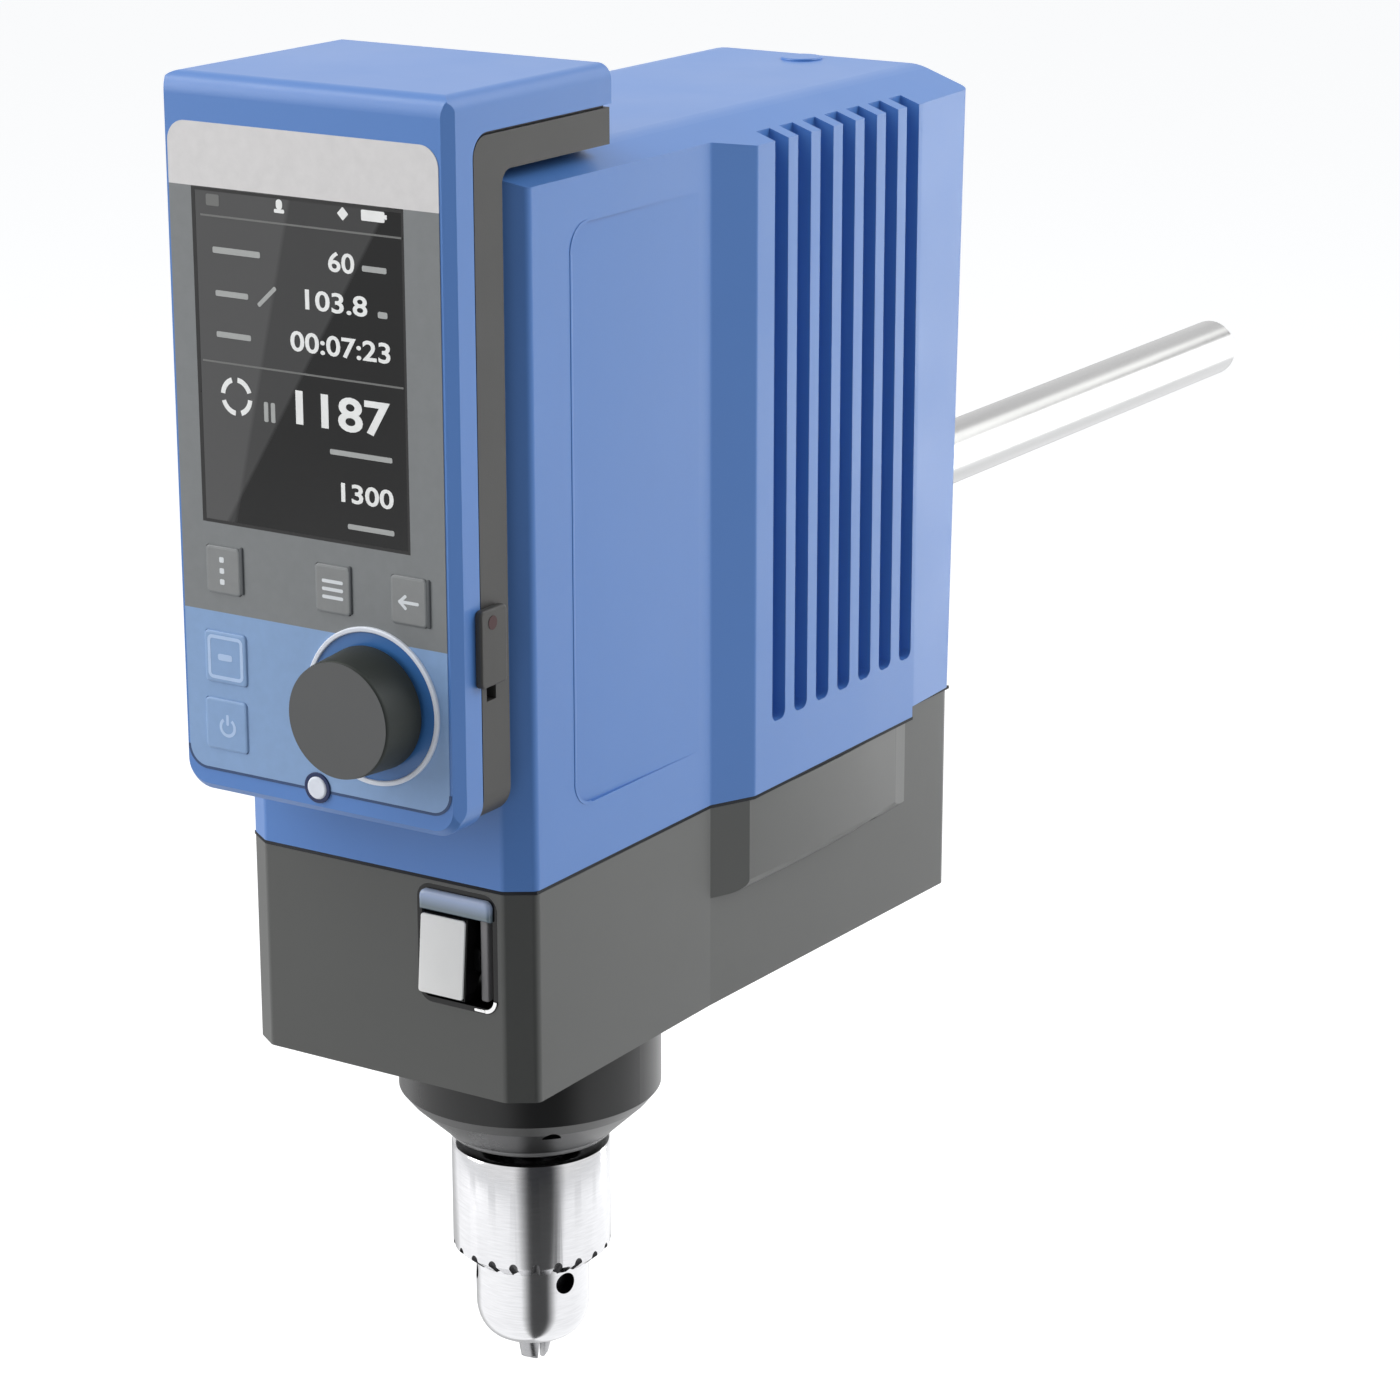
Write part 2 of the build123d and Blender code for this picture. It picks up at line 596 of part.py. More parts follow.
def spur_gear(teeth, z, bore, turn):
    """A straight spur gear with involute flanks."""
    pitch_r = MODULE * teeth / 2
    pressure = math.radians(PRESSURE_ANGLE)
    base_r = pitch_r * math.cos(pressure)
    tip_r = pitch_r + MODULE
    root_r = pitch_r - 1.25 * MODULE
    half = math.pi / (2 * teeth) - BACKLASH / (2 * pitch_r) + involute(pressure)
    first = max(base_r, root_r)
    radii = [first + (tip_r - first) * k / 3 for k in range(4)]
    flank = [(r, half - involute(math.acos(min(1.0, base_r / r)))) for r in radii]
    if root_r < first:
        flank.insert(0, (root_r, flank[0][1]))
    points = []
    for i in range(teeth):
        centre = math.radians(turn) + 2 * math.pi * i / teeth
        tooth = [(r, centre - a) for r, a in flank] + [(r, centre + a) for r, a in reversed(flank)]
        points += [(r * math.cos(a), r * math.sin(a)) for r, a in tooth]
    wheel = prism_up(Polygon(*points, align=None), z)
    return wheel - post(bore, (z[0] - 1, z[1] + 1))


def make_spindle_gear():
    """Large gear on the spindle, lightened by six holes."""
    z = (GEAR_LOW_Z, GEAR_LOW_Z + GEAR_H)
    gear = spur_gear(GEAR_TEETH, z, SPINDLE_R, 90.0)
    for i in range(6):
        gear -= Rot(0, 0, 60 * i) * post(4.5, (z[0] - 1, z[1] + 1), (19.0, 0))
    return gear


def make_motor_pinion():
    """Small gear on the motor shaft, in mesh with the spindle gear."""
    middle = GEAR_LOW_Z + GEAR_H / 2
    z = (middle - PINION_H / 2, middle + PINION_H / 2)
    half_tooth = 180.0 / PINION_TEETH
    return Pos(0, MOTOR_Y, 0) * spur_gear(PINION_TEETH, z, MOTOR_SHAFT_R, -90.0 + half_tooth)


def make_drive_plate():
    """Cast plate that carries the upper bearing, the motor and the rod bracket."""
    neck_y, neck_half = PLATE_NECK
    plan = mirrored_plan([
        (PLATE_HALF, PLATE_FRONT_Y), (PLATE_HALF, neck_y), (neck_half, neck_y), (neck_half, PLATE_REAR_Y)])
    body = prism_up(fillet(plan.vertices(), 4.0), (PLATE_Z, PLATE_TOP_Z))
    body -= post(BEARING_R, (PLATE_Z - 1, PLATE_TOP_Z + 1))
    body -= post(MOTOR_BEARING_R, (PLATE_Z - 1, PLATE_TOP_Z + 1), (0, MOTOR_Y))
    for x, y in PILLARS:
        body += both_sides(post(PILLAR_R, (BASE_FLOOR_Z, PLATE_Z), (x, y)))
        body -= both_sides(post(PILLAR_SCREW_R, (BASE_FLOOR_Z - 1, BASE_FLOOR_Z + 12), (x, y)))
    return body


def make_motor_can():
    """Round motor casing, open below, with the upper bearing seat in its top."""
    at = (0, MOTOR_Y)
    top = PLATE_TOP_Z + MOTOR_H
    can = post(MOTOR_R, (PLATE_TOP_Z, top), at)
    can -= post(MOTOR_R - MOTOR_WALL, (PLATE_TOP_Z - 1, top - 3), at)
    can += post(MOTOR_BEARING_R + 3, (top - MOTOR_BEARING_H, top), at)
    return can - post(MOTOR_BEARING_R, (PLATE_TOP_Z - 1, top + 1), at)


def make_motor_windings():
    """Stator: laminated ring with twelve wound poles."""
    at = (0, MOTOR_Y)
    low = PLATE_TOP_Z + STACK_END
    inner = ROTOR_R + AIR_GAP
    outer = MOTOR_R - MOTOR_WALL
    stator = ring(outer, inner, (low, low + STACK_H), at)
    for i in range(12):
        slot = post(2.2, (low - 1, low + STACK_H + 1), (inner + 3.4, 0))
        slot += block((inner - 1, inner + 3.4), (-0.8, 0.8), (low - 1, low + STACK_H + 1))
        stator -= Pos(0, MOTOR_Y, 0) * Rot(0, 0, 30 * i) * slot
    return stator


def make_motor_bearings():
    """The two bearings of the motor shaft."""
    at = (0, MOTOR_Y)
    top = PLATE_TOP_Z + MOTOR_H - MOTOR_BEARING_H
    size = (MOTOR_BEARING_R, MOTOR_SHAFT_R, MOTOR_BEARING_H)
    return Compound([make_ball_bearing(z, at, *size) for z in (PLATE_Z + 1, top)])


def make_motor_shaft():
    """Motor shaft from the pinion to the fan."""
    low = GEAR_LOW_Z + GEAR_H / 2 - PINION_H / 2
    high = PLATE_TOP_Z + MOTOR_H + 6 + FAN_H
    return post(MOTOR_SHAFT_R, (low, high), (0, MOTOR_Y))


def make_rotor_magnet():
    """Rotor with its magnets."""
    low = PLATE_TOP_Z + STACK_END
    return ring(ROTOR_R, MOTOR_SHAFT_R, (low, low + STACK_H), (0, MOTOR_Y))


def make_cooling_fan():
    """Axial fan above the motor."""
    low = PLATE_TOP_Z + MOTOR_H + 5.5
    fan = ring(FAN_HUB_R, MOTOR_SHAFT_R, (low, low + FAN_H))
    for i in range(FAN_BLADES):
        blade = Pos((FAN_HUB_R + FAN_R) / 2 - 0.5, 0, low + FAN_H / 2) * Rot(35, 0, 0) * Box(
            FAN_R - FAN_HUB_R + 1, 9.0, 1.2)
        fan += Rot(0, 0, 360 / FAN_BLADES * i) * blade
    return Pos(0, MOTOR_Y, 0) * fan


def make_spindle_bush():
    """Plain bush that guides the top of the spindle under the roof."""
    bush = ring(PORT_R + 4, SPINDLE_R + RUNNING, (SPINDLE_TOP_Z - 8, CAVITY_TOP_Z - 4))
    return bush + ring(PORT_R + 4, PORT_R + 0.2, (CAVITY_TOP_Z - 4, CAVITY_TOP_Z))


# ---------------------------------------------------------------- chuck
LEAN = math.radians(JAW_LEAN)


def jaw_outer(z):
    """Greatest distance of a jaw from the spindle axis at a height."""
    return z * math.tan(LEAN) + JAW_R / math.cos(LEAN)


def leaning_rod(radius, low, high):
    """A rod along the path of the first jaw, cut level at both ends."""
    length = 3 * (high - low)
    rod = Rot(0, JAW_LEAN, 0) * Cylinder(radius, length)
    return rod & block((-length, length), (-length, length), (low, high))


def make_chuck_body():
    """Chuck body: rounded nose, groove for the ring nut, jaw ways and key holes."""
    nut_gap = 0.1
    round_drop = NOSE_ROUND_Z - NOSE_TIP_Z
    round_in = NOSE_R - NOSE_TIP_R
    nose = [(NOSE_R - round_in * (1 - math.cos(a)), NOSE_ROUND_Z - round_drop * math.sin(a))
            for a in [math.radians(18 * k) for k in range(5, -1, -1)]]
    outline = [(THROAT_R, NOSE_TIP_Z)] + nose + [
        (NOSE_R, NUT_LOW_Z - nut_gap), (jaw_outer(NUT_LOW_Z), NUT_LOW_Z - nut_gap),
        (jaw_outer(NUT_HIGH_Z), NUT_HIGH_Z + nut_gap), (SLEEVE_BORE_R - RUNNING, NUT_HIGH_Z + nut_gap),
        (SLEEVE_BORE_R - RUNNING, CHUCK_TOP_Z - 0.6), (SPINDLE_R + 4, CHUCK_TOP_Z - 0.6),
        (SPINDLE_R + 3, CHUCK_TOP_Z + 0.6), (SPINDLE_R, CHUCK_TOP_Z + 0.6),
        (SPINDLE_R, SPINDLE_LOW_Z), (THROAT_R, SPINDLE_LOW_Z)]
    body = revolved(outline)
    for i in range(JAW_COUNT):
        turn = Rot(0, 0, JAW_ANGLE + 120 * i)
        body -= turn * leaning_rod(JAW_R + RUNNING, 0, JAW_TOP_Z + JAW_RISE + 0.5)
        hole = Pos(NOSE_R - KEY_HOLE_DEPTH, 0, KEY_HOLE_Z) * Rot(0, 90, 0) * Cylinder(
            KEY_HOLE_R, KEY_HOLE_DEPTH + 2, align=(Align.CENTER, Align.CENTER, Align.MIN))
        body -= Rot(0, 0, KEY_HOLE_ANGLE + 120 * i) * hole
    return body


def make_chuck_sleeve():
    """Outer sleeve with the bevel ring of key teeth."""
    lip = NOSE_R + RUNNING
    sleeve = revolved([
        (lip, SLEEVE_BOTTOM_Z), (SLEEVE_LIP_R, SLEEVE_BOTTOM_Z), (SLEEVE_R, SLEEVE_BEVEL_Z),
        (SLEEVE_R, CHUCK_TOP_Z - 1.0), (SLEEVE_R - 1.0, CHUCK_TOP_Z), (SLEEVE_BORE_R, CHUCK_TOP_Z),
        (SLEEVE_BORE_R, NUT_LOW_Z), (lip, NUT_LOW_Z)])
    bevel_run = SLEEVE_R - SLEEVE_LIP_R
    bevel_rise = SLEEVE_BEVEL_Z - SLEEVE_BOTTOM_Z
    slope = math.degrees(math.atan2(bevel_rise, bevel_run))
    mid_r = (SLEEVE_R + SLEEVE_LIP_R) / 2
    mid_z = (SLEEVE_BEVEL_Z + SLEEVE_BOTTOM_Z) / 2
    cut = Pos(mid_r, 0, mid_z) * Rot(0, -slope, 0) * Box(9.0, TOOTH_W, 2 * TOOTH_DEPTH)
    for i in range(TOOTH_COUNT):
        sleeve -= Rot(0, 0, 360 / TOOTH_COUNT * i) * cut
    return sleeve


def make_ring_nut():
    """Conical ring nut that drives the jaws, pressed into the sleeve."""
    gap = 0.15
    return revolved([
        (jaw_outer(NUT_LOW_Z) + gap, NUT_LOW_Z), (SLEEVE_BORE_R, NUT_LOW_Z),
        (SLEEVE_BORE_R, NUT_HIGH_Z), (jaw_outer(NUT_HIGH_Z) + gap, NUT_HIGH_Z)])


JAW_OPEN_R = 3.5           # each jaw opens by this much, to a 10 mm shaft
JAW_RISE = JAW_OPEN_R / math.tan(LEAN)


def make_jaw(index):
    """One leaning jaw with a level tip, a grip face and wedge flanks."""
    jaw = leaning_rod(JAW_R, 0, JAW_TOP_Z)
    jaw -= post(JAW_GRIP_R, (-1, JAW_TOP_Z + 1))
    reach = 2 * NOSE_R
    jaw -= block((-reach, 0), (-reach, reach), (-1, JAW_TOP_Z + 1))
    gap = JAW_CLOSE_R * math.sin(math.radians(60)) + 0.04
    for side in (-1, 1):
        keep_out = Pos(0, -reach / 2, JAW_TOP_Z / 2) * Box(3 * reach, reach, JAW_TOP_Z + 2)
        wedge = Rot(0, 0, -60) * Pos(0, gap, 0) * keep_out
        if side > 0:
            wedge = mirror(wedge, Plane.XZ)
        jaw -= wedge
    edge = Pos(JAW_R, 0, 0) * Rot(0, -45, 0) * Box(1.6, 8, 1.6)
    jaw -= edge
    return Rot(0, 0, JAW_ANGLE + 120 * index) * jaw


# ---------------------------------------------------------------- support rod
def make_support_rod():
    """Round steel rod by which a stand clamp holds the stirrer."""
    rod = bar_y(ROD_R, (ROD_SHOULDER_Y, ROD_END_Y), 0, ROD_Z)
    ends = [e for e in rod.edges() if e.center().Y > ROD_END_Y - 1]
    rod = chamfer(ends, ROD_CHAMFER)
    return rod + bar_y(ROD_TENON_R, (ROD_START_Y, ROD_SHOULDER_Y), 0, ROD_Z)


def make_rod_mount():
    """Cast bracket that holds the support rod on the drive plate."""
    body = block((-MOUNT_HALF, MOUNT_HALF), (MOUNT_FRONT_Y, MOUNT_REAR_Y), (PLATE_TOP_Z, MOUNT_TOP_Z))
    body -= block((-MOUNT_HALF - 1, MOUNT_HALF + 1), (PLATE_REAR_Y, MOUNT_REAR_Y + 1),
                  (PLATE_TOP_Z - 1, PLATE_TOP_Z + 20))
    window = (PLATE_TOP_Z + 8, ROD_Z - ROD_R - 6)
    body -= block((-MOUNT_HALF + 5, MOUNT_HALF - 5), (MOUNT_FRONT_Y - 1, MOUNT_REAR_Y + 1), window)
    body -= bar_y(ROD_TENON_R, (ROD_START_Y, MOUNT_REAR_Y + 1), 0, ROD_Z)
    return body


# ---------------------------------------------------------------- base fittings
SENSOR_R = 6.0
ROCKER_Z = ROCKER_LOW_Z + ROCKER_H / 2
ROCKER_AXIS_Y = FRONT_Y + 3.0


def make_switch_bezel():
    """Black pocket of the power switch, open to the front."""
    low = (SWITCH_X - SWITCH_HALF_W, SWITCH_LOW_Z)
    high = (SWITCH_X + SWITCH_HALF_W, SWITCH_TOP_Z)
    body = sheet_xz(low, high, (FRONT_Y, FRONT_Y + POCKET_DEPTH + 2), SWITCH_ROUND)
    inner_low = (low[0] + BEZEL_T, low[1] + BEZEL_T)
    inner_high = (high[0] - BEZEL_T, high[1] - BEZEL_T)
    body -= sheet_xz(inner_low, inner_high, (FRONT_Y - 1, FRONT_Y + POCKET_DEPTH), POCKET_ROUND)
    for side in (-1, 1):
        x = ROCKER_X + side * (ROCKER_W / 2 + CLEAR + 0.8)
        body += block((x - 0.8, x + 0.8), (ROCKER_AXIS_Y - 2, FRONT_Y + POCKET_DEPTH),
                      (ROCKER_Z - 2.5, ROCKER_Z + 2.5))
    reach = ROCKER_W / 2 + CLEAR + 0.8
    return body + bar_x(ROCKER_PIN_R, (ROCKER_X - reach, ROCKER_X + reach), ROCKER_AXIS_Y, ROCKER_Z)


def make_switch_lens():
    """Clear glossy cap across the top of the switch."""
    low = SWITCH_TOP_Z - BEZEL_T - LENS_H
    high = SWITCH_TOP_Z - BEZEL_T
    x = (SWITCH_X - SWITCH_HALF_W + BEZEL_T, SWITCH_X + SWITCH_HALF_W - BEZEL_T)
    body = block(x, (FRONT_Y - LENS_PROUD, FRONT_Y + POCKET_DEPTH), (low, high))
    low_z = SWITCH_LOW_Z + BEZEL_T
    pocket = sheet_xz((x[0], low_z), (x[1], high), (FRONT_Y - 5, FRONT_Y + POCKET_DEPTH), POCKET_ROUND)
    body &= pocket
    front = [e for e in body.edges() if e.center().Y < FRONT_Y - LENS_PROUD + 0.01]
    return fillet(front, 0.9)


def make_power_rocker():
    """Rocker paddle with a hub on its pivot pin."""
    half = ROCKER_W / 2
    face_y = FRONT_Y - ROCKER_PROUD
    low = ROCKER_LOW_Z
    high = ROCKER_LOW_Z + ROCKER_H
    body = prism_across([
        (face_y, low), (face_y, high), (face_y + 3.2, high), (ROCKER_AXIS_Y + 1.9, ROCKER_Z + 3),
        (ROCKER_AXIS_Y + 1.9, ROCKER_Z - 3), (face_y + 3.2, low)], half)
    body = Pos(ROCKER_X, 0, 0) * body
    front = [e for e in body.edges() if e.center().Y < face_y + 0.01]
    body = fillet(front, 0.8)
    body -= bar_x(ROCKER_PIN_R + 0.05, (ROCKER_X - half - 1, ROCKER_X + half + 1), ROCKER_AXIS_Y, ROCKER_Z)
    return body.rotate(Axis((0, ROCKER_AXIS_Y, ROCKER_Z), (1, 0, 0)), -ROCKER_TILT)


def make_mains_inlet():
    """Appliance inlet with three pins in a deep recess."""
    half_w = INLET_BODY[0] / 2
    half_h = INLET_BODY[1] / 2
    body = sheet_xz((INLET_X - half_w, INLET_Z - half_h), (INLET_X + half_w, INLET_Z + half_h),
                    (REAR_SEAM_Y - INLET_DEPTH, REAR_SEAM_Y))
    body += sheet_xz((INLET_X - half_w - 1.6, INLET_Z - half_h - 1.6),
                     (INLET_X + half_w + 1.6, INLET_Z + half_h + 1.6), (REAR_SEAM_Y, REAR_SEAM_Y + 1.6), 2.0)
    wide = INLET_MOUTH[0] / 2
    tall = INLET_MOUTH[1] / 2
    cut = 4.4
    mouth = prism_back([
        (INLET_X - wide, INLET_Z - tall), (INLET_X + wide, INLET_Z - tall),
        (INLET_X + wide, INLET_Z + tall - cut), (INLET_X + wide - cut, INLET_Z + tall),
        (INLET_X - wide + cut, INLET_Z + tall),
        (INLET_X - wide, INLET_Z + tall - cut)], (REAR_SEAM_Y - INLET_DEPTH + 4, REAR_SEAM_Y + 3))
    body -= mouth
    for x, z in ((-7.0, -2.0), (0.0, 2.0), (7.0, -2.0)):
        body += block((INLET_X + x - 1, INLET_X + x + 1), (REAR_SEAM_Y - INLET_DEPTH + 3, REAR_SEAM_Y - 4.5),
                      (INLET_Z + z - 2, INLET_Z + z + 2))
    return body


def make_sensor_socket():
    """Round socket for a temperature probe in the rear wall."""
    body = bar_y(SENSOR_R, (REAR_SEAM_Y - SENSOR_DEPTH, REAR_SEAM_Y), SENSOR_X, SOCKET_Z)
    body += bar_y(SENSOR_R + 1.0, (REAR_SEAM_Y, REAR_SEAM_Y + 1.2), SENSOR_X, SOCKET_Z)
    body -= bar_y(SENSOR_R - 1.6, (REAR_SEAM_Y - SENSOR_DEPTH + 4, REAR_SEAM_Y + 2), SENSOR_X, SOCKET_Z)
    for i in range(4):
        angle = math.radians(45 + 90 * i)
        x = SENSOR_X + 1.9 * math.cos(angle)
        z = SOCKET_Z + 1.9 * math.sin(angle)
        body += bar_y(0.5, (REAR_SEAM_Y - SENSOR_DEPTH + 3, REAR_SEAM_Y - 4.6), x, z)
    return body


def make_base_screws():
    """Four screws that join the casings from below."""
    screws = []
    for x, y in BASE_SCREWS:
        for side in (-1, 1):
            at = (side * x, y)
            screw = post(SCREW_R, (BASE_BOTTOM_Z + 1, HOUSING_REAR_LOW_Z + 14), at)
            screw += post(SCREW_HEAD_R, (BASE_BOTTOM_Z + 1, BASE_BOTTOM_Z + 4), at)
            screw -= Pos(at[0], at[1], BASE_BOTTOM_Z + 1) * extrude(RegularPolygon(1.9, 6), 2.0)
            screws.append(screw)
    return Compound(screws)


POWER_BOARD_Y = 76.0
POWER_BOARD_HALF = CAVITY_HALF - 5.4
POWER_BOARD_TOP_Z = CAVITY_TOP_Z - 14.0
SINK_Z = (POWER_BOARD_TOP_Z - 26.0, POWER_BOARD_TOP_Z - 4.0)
SINK_HALF = POWER_BOARD_HALF - 4.0
CAPACITOR_R = 7.0
CAPACITOR_H = 25.0
CAPACITOR_DROP = 47.0      # from the top of the board down to the capacitors
CAPACITOR_X = (-18.0, 0.0, 18.0)


def make_power_board():
    """Motor driver board, upright behind the motor, with capacitors and a finned heat sink."""
    back = POWER_BOARD_Y + 1.6
    body = block((-POWER_BOARD_HALF, POWER_BOARD_HALF), (POWER_BOARD_Y, back),
                 (PLATE_TOP_Z, POWER_BOARD_TOP_Z))
    for x in CAPACITOR_X:
        body += bar_y(CAPACITOR_R, (back, back + CAPACITOR_H), x, POWER_BOARD_TOP_Z - CAPACITOR_DROP)
    body += block((-SINK_HALF, SINK_HALF), (back, back + 3), SINK_Z)
    for i in range(8):
        x = (SINK_HALF - 1) * (2 * i / 7 - 1)
        body += block((x - 0.9, x + 0.9), (back + 2, back + 16), SINK_Z)
    return body


# ---------------------------------------------------------------- control head
def head_profile(rear_y, top_z, front_y, bottom_z, under_z, hood_y, inner_round, outer_round):
    """Side outline of an L-shaped layer of the head: an upright and a hood over the roof."""
    outline = Polygon(
        (front_y, bottom_z), (front_y, top_z), (hood_y, top_z), (hood_y, under_z),
        (rear_y, under_z), (rear_y, bottom_z), align=None)
    inner = [v for v in outline.vertices() if abs(v.X - rear_y) < 0.01 and abs(v.Y - under_z) < 0.01]
    outline = fillet(inner, inner_round)
    if outer_round:
        outer = [v for v in outline.vertices() if abs(v.X - front_y) < 0.01 and abs(v.Y - top_z) < 0.01]
        outline = fillet(outer, outer_round)
    return outline


def front_outline(half, low, high, front_y, edge=0.0):
    """Front view of the head, with rounded corners, as a prism with a bevelled front edge."""
    face = Rectangle(2 * half, high - low)
    lower = [v for v in face.vertices() if v.Y < 0]
    face = fillet(lower, HEAD_CORNERS[0])
    upper = [v for v in face.vertices() if v.Y > (high - low) / 2 - 0.01]
    face = fillet(upper, HEAD_CORNERS[1])
    back = HOOD_REAR_Y + 5
    prism = Pos(0, back, (low + high) / 2) * extrude(Plane.XZ * face, back - front_y)
    if edge:
        front = [e for e in prism.edges() if e.center().Y < front_y + 0.01]
        prism = chamfer(front, edge)
    return prism


def head_cavity():
    """The hollow of the head, shared by shell and frame."""
    low = (-HEAD_CAVITY_HALF, HEAD_CAVITY_Z[0])
    high = (HEAD_CAVITY_HALF, HEAD_CAVITY_Z[1])
    return sheet_xz(low, high, (SHELL_INNER_Y, HEAD_FRAME_REAR_Y - HEAD_WALL), 4.0)


def key_list():
    """Centre and size of each key."""
    keys = [(at, SOFT_KEY_SIZE) for at in SOFT_KEYS]
    return keys + [(at, SQUARE_KEY_SIZE) for at in SQUARE_KEYS]


def key_plate(at, size, y, grow=0.0, corner=0.8):
    """A rounded plate at a key."""
    half_w = size[0] / 2 + grow
    half_h = size[1] / 2 + grow
    return sheet_xz((at[0] - half_w, at[1] - half_h), (at[0] + half_w, at[1] + half_h), y, corner)


def head_openings(y):
    """Holes for keys, knob bush and lamp through the front of the head."""
    holes = [key_plate(at, size, y, CLEAR) for at, size in key_list()]
    holes.append(bar_y(BUSH_R + 0.1, y, KNOB_X, KNOB_Z))
    holes.append(bar_y(LED_R + LED_RING, y, 0, LED_Z))
    return holes


def make_head_shell():
    """Blue front shell of the control head with its hood."""
    profile = head_profile(HEAD_SHELL_REAR_Y, HEAD_TOP_Z, HEAD_FRONT_Y, HEAD_BOTTOM_Z,
                           HEAD_TOP_Z - HOOD_CAP_T, HOOD_REAR_Y, 5.0, HOOD_ROUND)
    body = extrude(Plane.YZ * profile, HEAD_HALF, both=True)
    body &= front_outline(HEAD_HALF, HEAD_BOTTOM_Z, HEAD_TOP_Z, HEAD_FRONT_Y, HEAD_EDGE)
    plan = mirrored_plan([
        (HEAD_HALF - HEAD_BEVEL[0], HEAD_FRONT_Y), (HEAD_HALF, HEAD_FRONT_Y + HEAD_BEVEL[1]),
        (HEAD_HALF, HOOD_REAR_Y + 1)])
    body &= prism_up(plan, (HEAD_BOTTOM_Z - 1, HEAD_TOP_Z + 1))
    body -= head_cavity()
    low = (-PANEL_HALF, PANEL_SPLITS[0])
    high = (PANEL_HALF, PANEL_SPLITS[-1])
    body -= sheet_xz(low, high, (HEAD_FRONT_Y - 1, PANEL_BACK_Y), PANEL_CORNER)
    window = 1.2
    body -= sheet_xz((GLASS_LOW[0] + window, GLASS_LOW[1] + window),
                     (GLASS_HIGH[0] - window, GLASS_HIGH[1] - window),
                     (HEAD_FRONT_Y - 1, SHELL_INNER_Y + 1))
    for hole in head_openings((HEAD_FRONT_Y - 1, SHELL_INNER_Y + 1)):
        body -= hole
    for x, z in HEAD_SCREWS:
        body += both_sides(bar_y(HEAD_BOSS_R, (SHELL_INNER_Y, HEAD_SHELL_REAR_Y), x, z))
        body -= both_sides(bar_y(HEAD_SCREW_R, (SHELL_INNER_Y + 1, HEAD_SHELL_REAR_Y + 1), x, z))
    return body


def make_head_frame():
    """Dark rear frame of the control head, which follows the shell round the hood."""
    front = HEAD_SHELL_REAR_Y + HEAD_GAP
    top = HEAD_TOP_Z - HOOD_CAP_T - HEAD_GAP
    hood_y = HOOD_REAR_Y - 0.3
    outer = head_profile(HEAD_FRAME_REAR_Y, top, front, HEAD_BOTTOM_Z + 0.8, HOOD_UNDER_Z, hood_y, 3.0, 4.3)
    lip = head_profile(HEAD_FRAME_REAR_Y, top + HEAD_GAP, HEAD_SHELL_REAR_Y, HEAD_BOTTOM_Z + 2.0,
                       HOOD_UNDER_Z, hood_y - 1.0, 3.0, 5.0)
    half = HEAD_HALF - 0.3
    body = extrude(Plane.YZ * outer, half, both=True)
    body &= front_outline(half, HEAD_BOTTOM_Z + 0.8, HEAD_TOP_Z, front)
    inset = extrude(Plane.YZ * lip, half - HEAD_LIP, both=True)
    lip_low = HEAD_BOTTOM_Z + 2.0
    body += inset & front_outline(half - HEAD_LIP, lip_low, HEAD_TOP_Z, HEAD_SHELL_REAR_Y)
    body -= head_cavity()
    groove = CLEAR
    neck = RAIL_HALF - 3 + groove
    step = ROOF_Z + RAIL_T / 2 - groove
    rail_top = ROOF_Z + RAIL_T + groove
    run = (RAIL_LENGTH[0] - 0.6, HOOD_REAR_Y + 1)
    body -= block((-neck, neck), run, (ROOF_Z - 1, rail_top))
    body -= block((-RAIL_HALF - groove, RAIL_HALF + groove), run, (step, rail_top))
    slot_y = (SLIDER_Y[0] + 4.3, SLIDER_Y[1] - 1.6)
    slot_z = (SLIDER_Z[0] - SLIDER_TRAVEL + 0.7, SLIDER_Z[1] - 1.7)
    body -= block((HEAD_CAVITY_HALF - 1, HEAD_HALF + 1), slot_y, slot_z)
    for x, z in HEAD_SCREWS:
        body += both_sides(bar_y(HEAD_BOSS_R, (HEAD_SHELL_REAR_Y, HEAD_FRAME_REAR_Y), x, z))
        body -= both_sides(bar_y(HEAD_SCREW_R, (HEAD_SHELL_REAR_Y - 1, HEAD_FRAME_REAR_Y + 1), x, z))
        body -= both_sides(bar_y(HEAD_SCREW_HEAD_R, (HEAD_FRAME_REAR_Y - 1.6, HEAD_FRAME_REAR_Y + 1), x, z))
    middle = (DOCK_Z[0] + DOCK_Z[1]) / 2
    body -= sheet_xz((-PLUG_HALF, middle - PLUG_HALF_H), (PLUG_HALF, middle + PLUG_HALF_H),
                     (HEAD_FRAME_REAR_Y - 3, HEAD_FRAME_REAR_Y + 1))
    return body


PLUG_HALF = DOCK_HALF - 2.4 - CLEAR
PLUG_HALF_H = (DOCK_Z[1] - DOCK_Z[0]) / 2 - 2.4 - CLEAR


def make_dock_plug():
    """Plug on the rear of the head, which enters the socket in the housing."""
    middle = (DOCK_Z[0] + DOCK_Z[1]) / 2
    back = HEAD_FRAME_REAR_Y - HEAD_WALL
    return sheet_xz((-PLUG_HALF, middle - PLUG_HALF_H), (PLUG_HALF, middle + PLUG_HALF_H),
                    (back, FRONT_Y + 6))


def make_head_screws():
    """Four screws that join frame and shell."""
    screws = []
    for x, z in HEAD_SCREWS:
        for side in (-1, 1):
            screw = bar_y(HEAD_SCREW_R, (HEAD_SHELL_REAR_Y - 4, HEAD_FRAME_REAR_Y - 1), side * x, z)
            screw += bar_y(HEAD_SCREW_HEAD_R, (HEAD_FRAME_REAR_Y - 1.6, HEAD_FRAME_REAR_Y - 0.4), side * x, z)
            screws.append(screw)
    return Compound(screws)


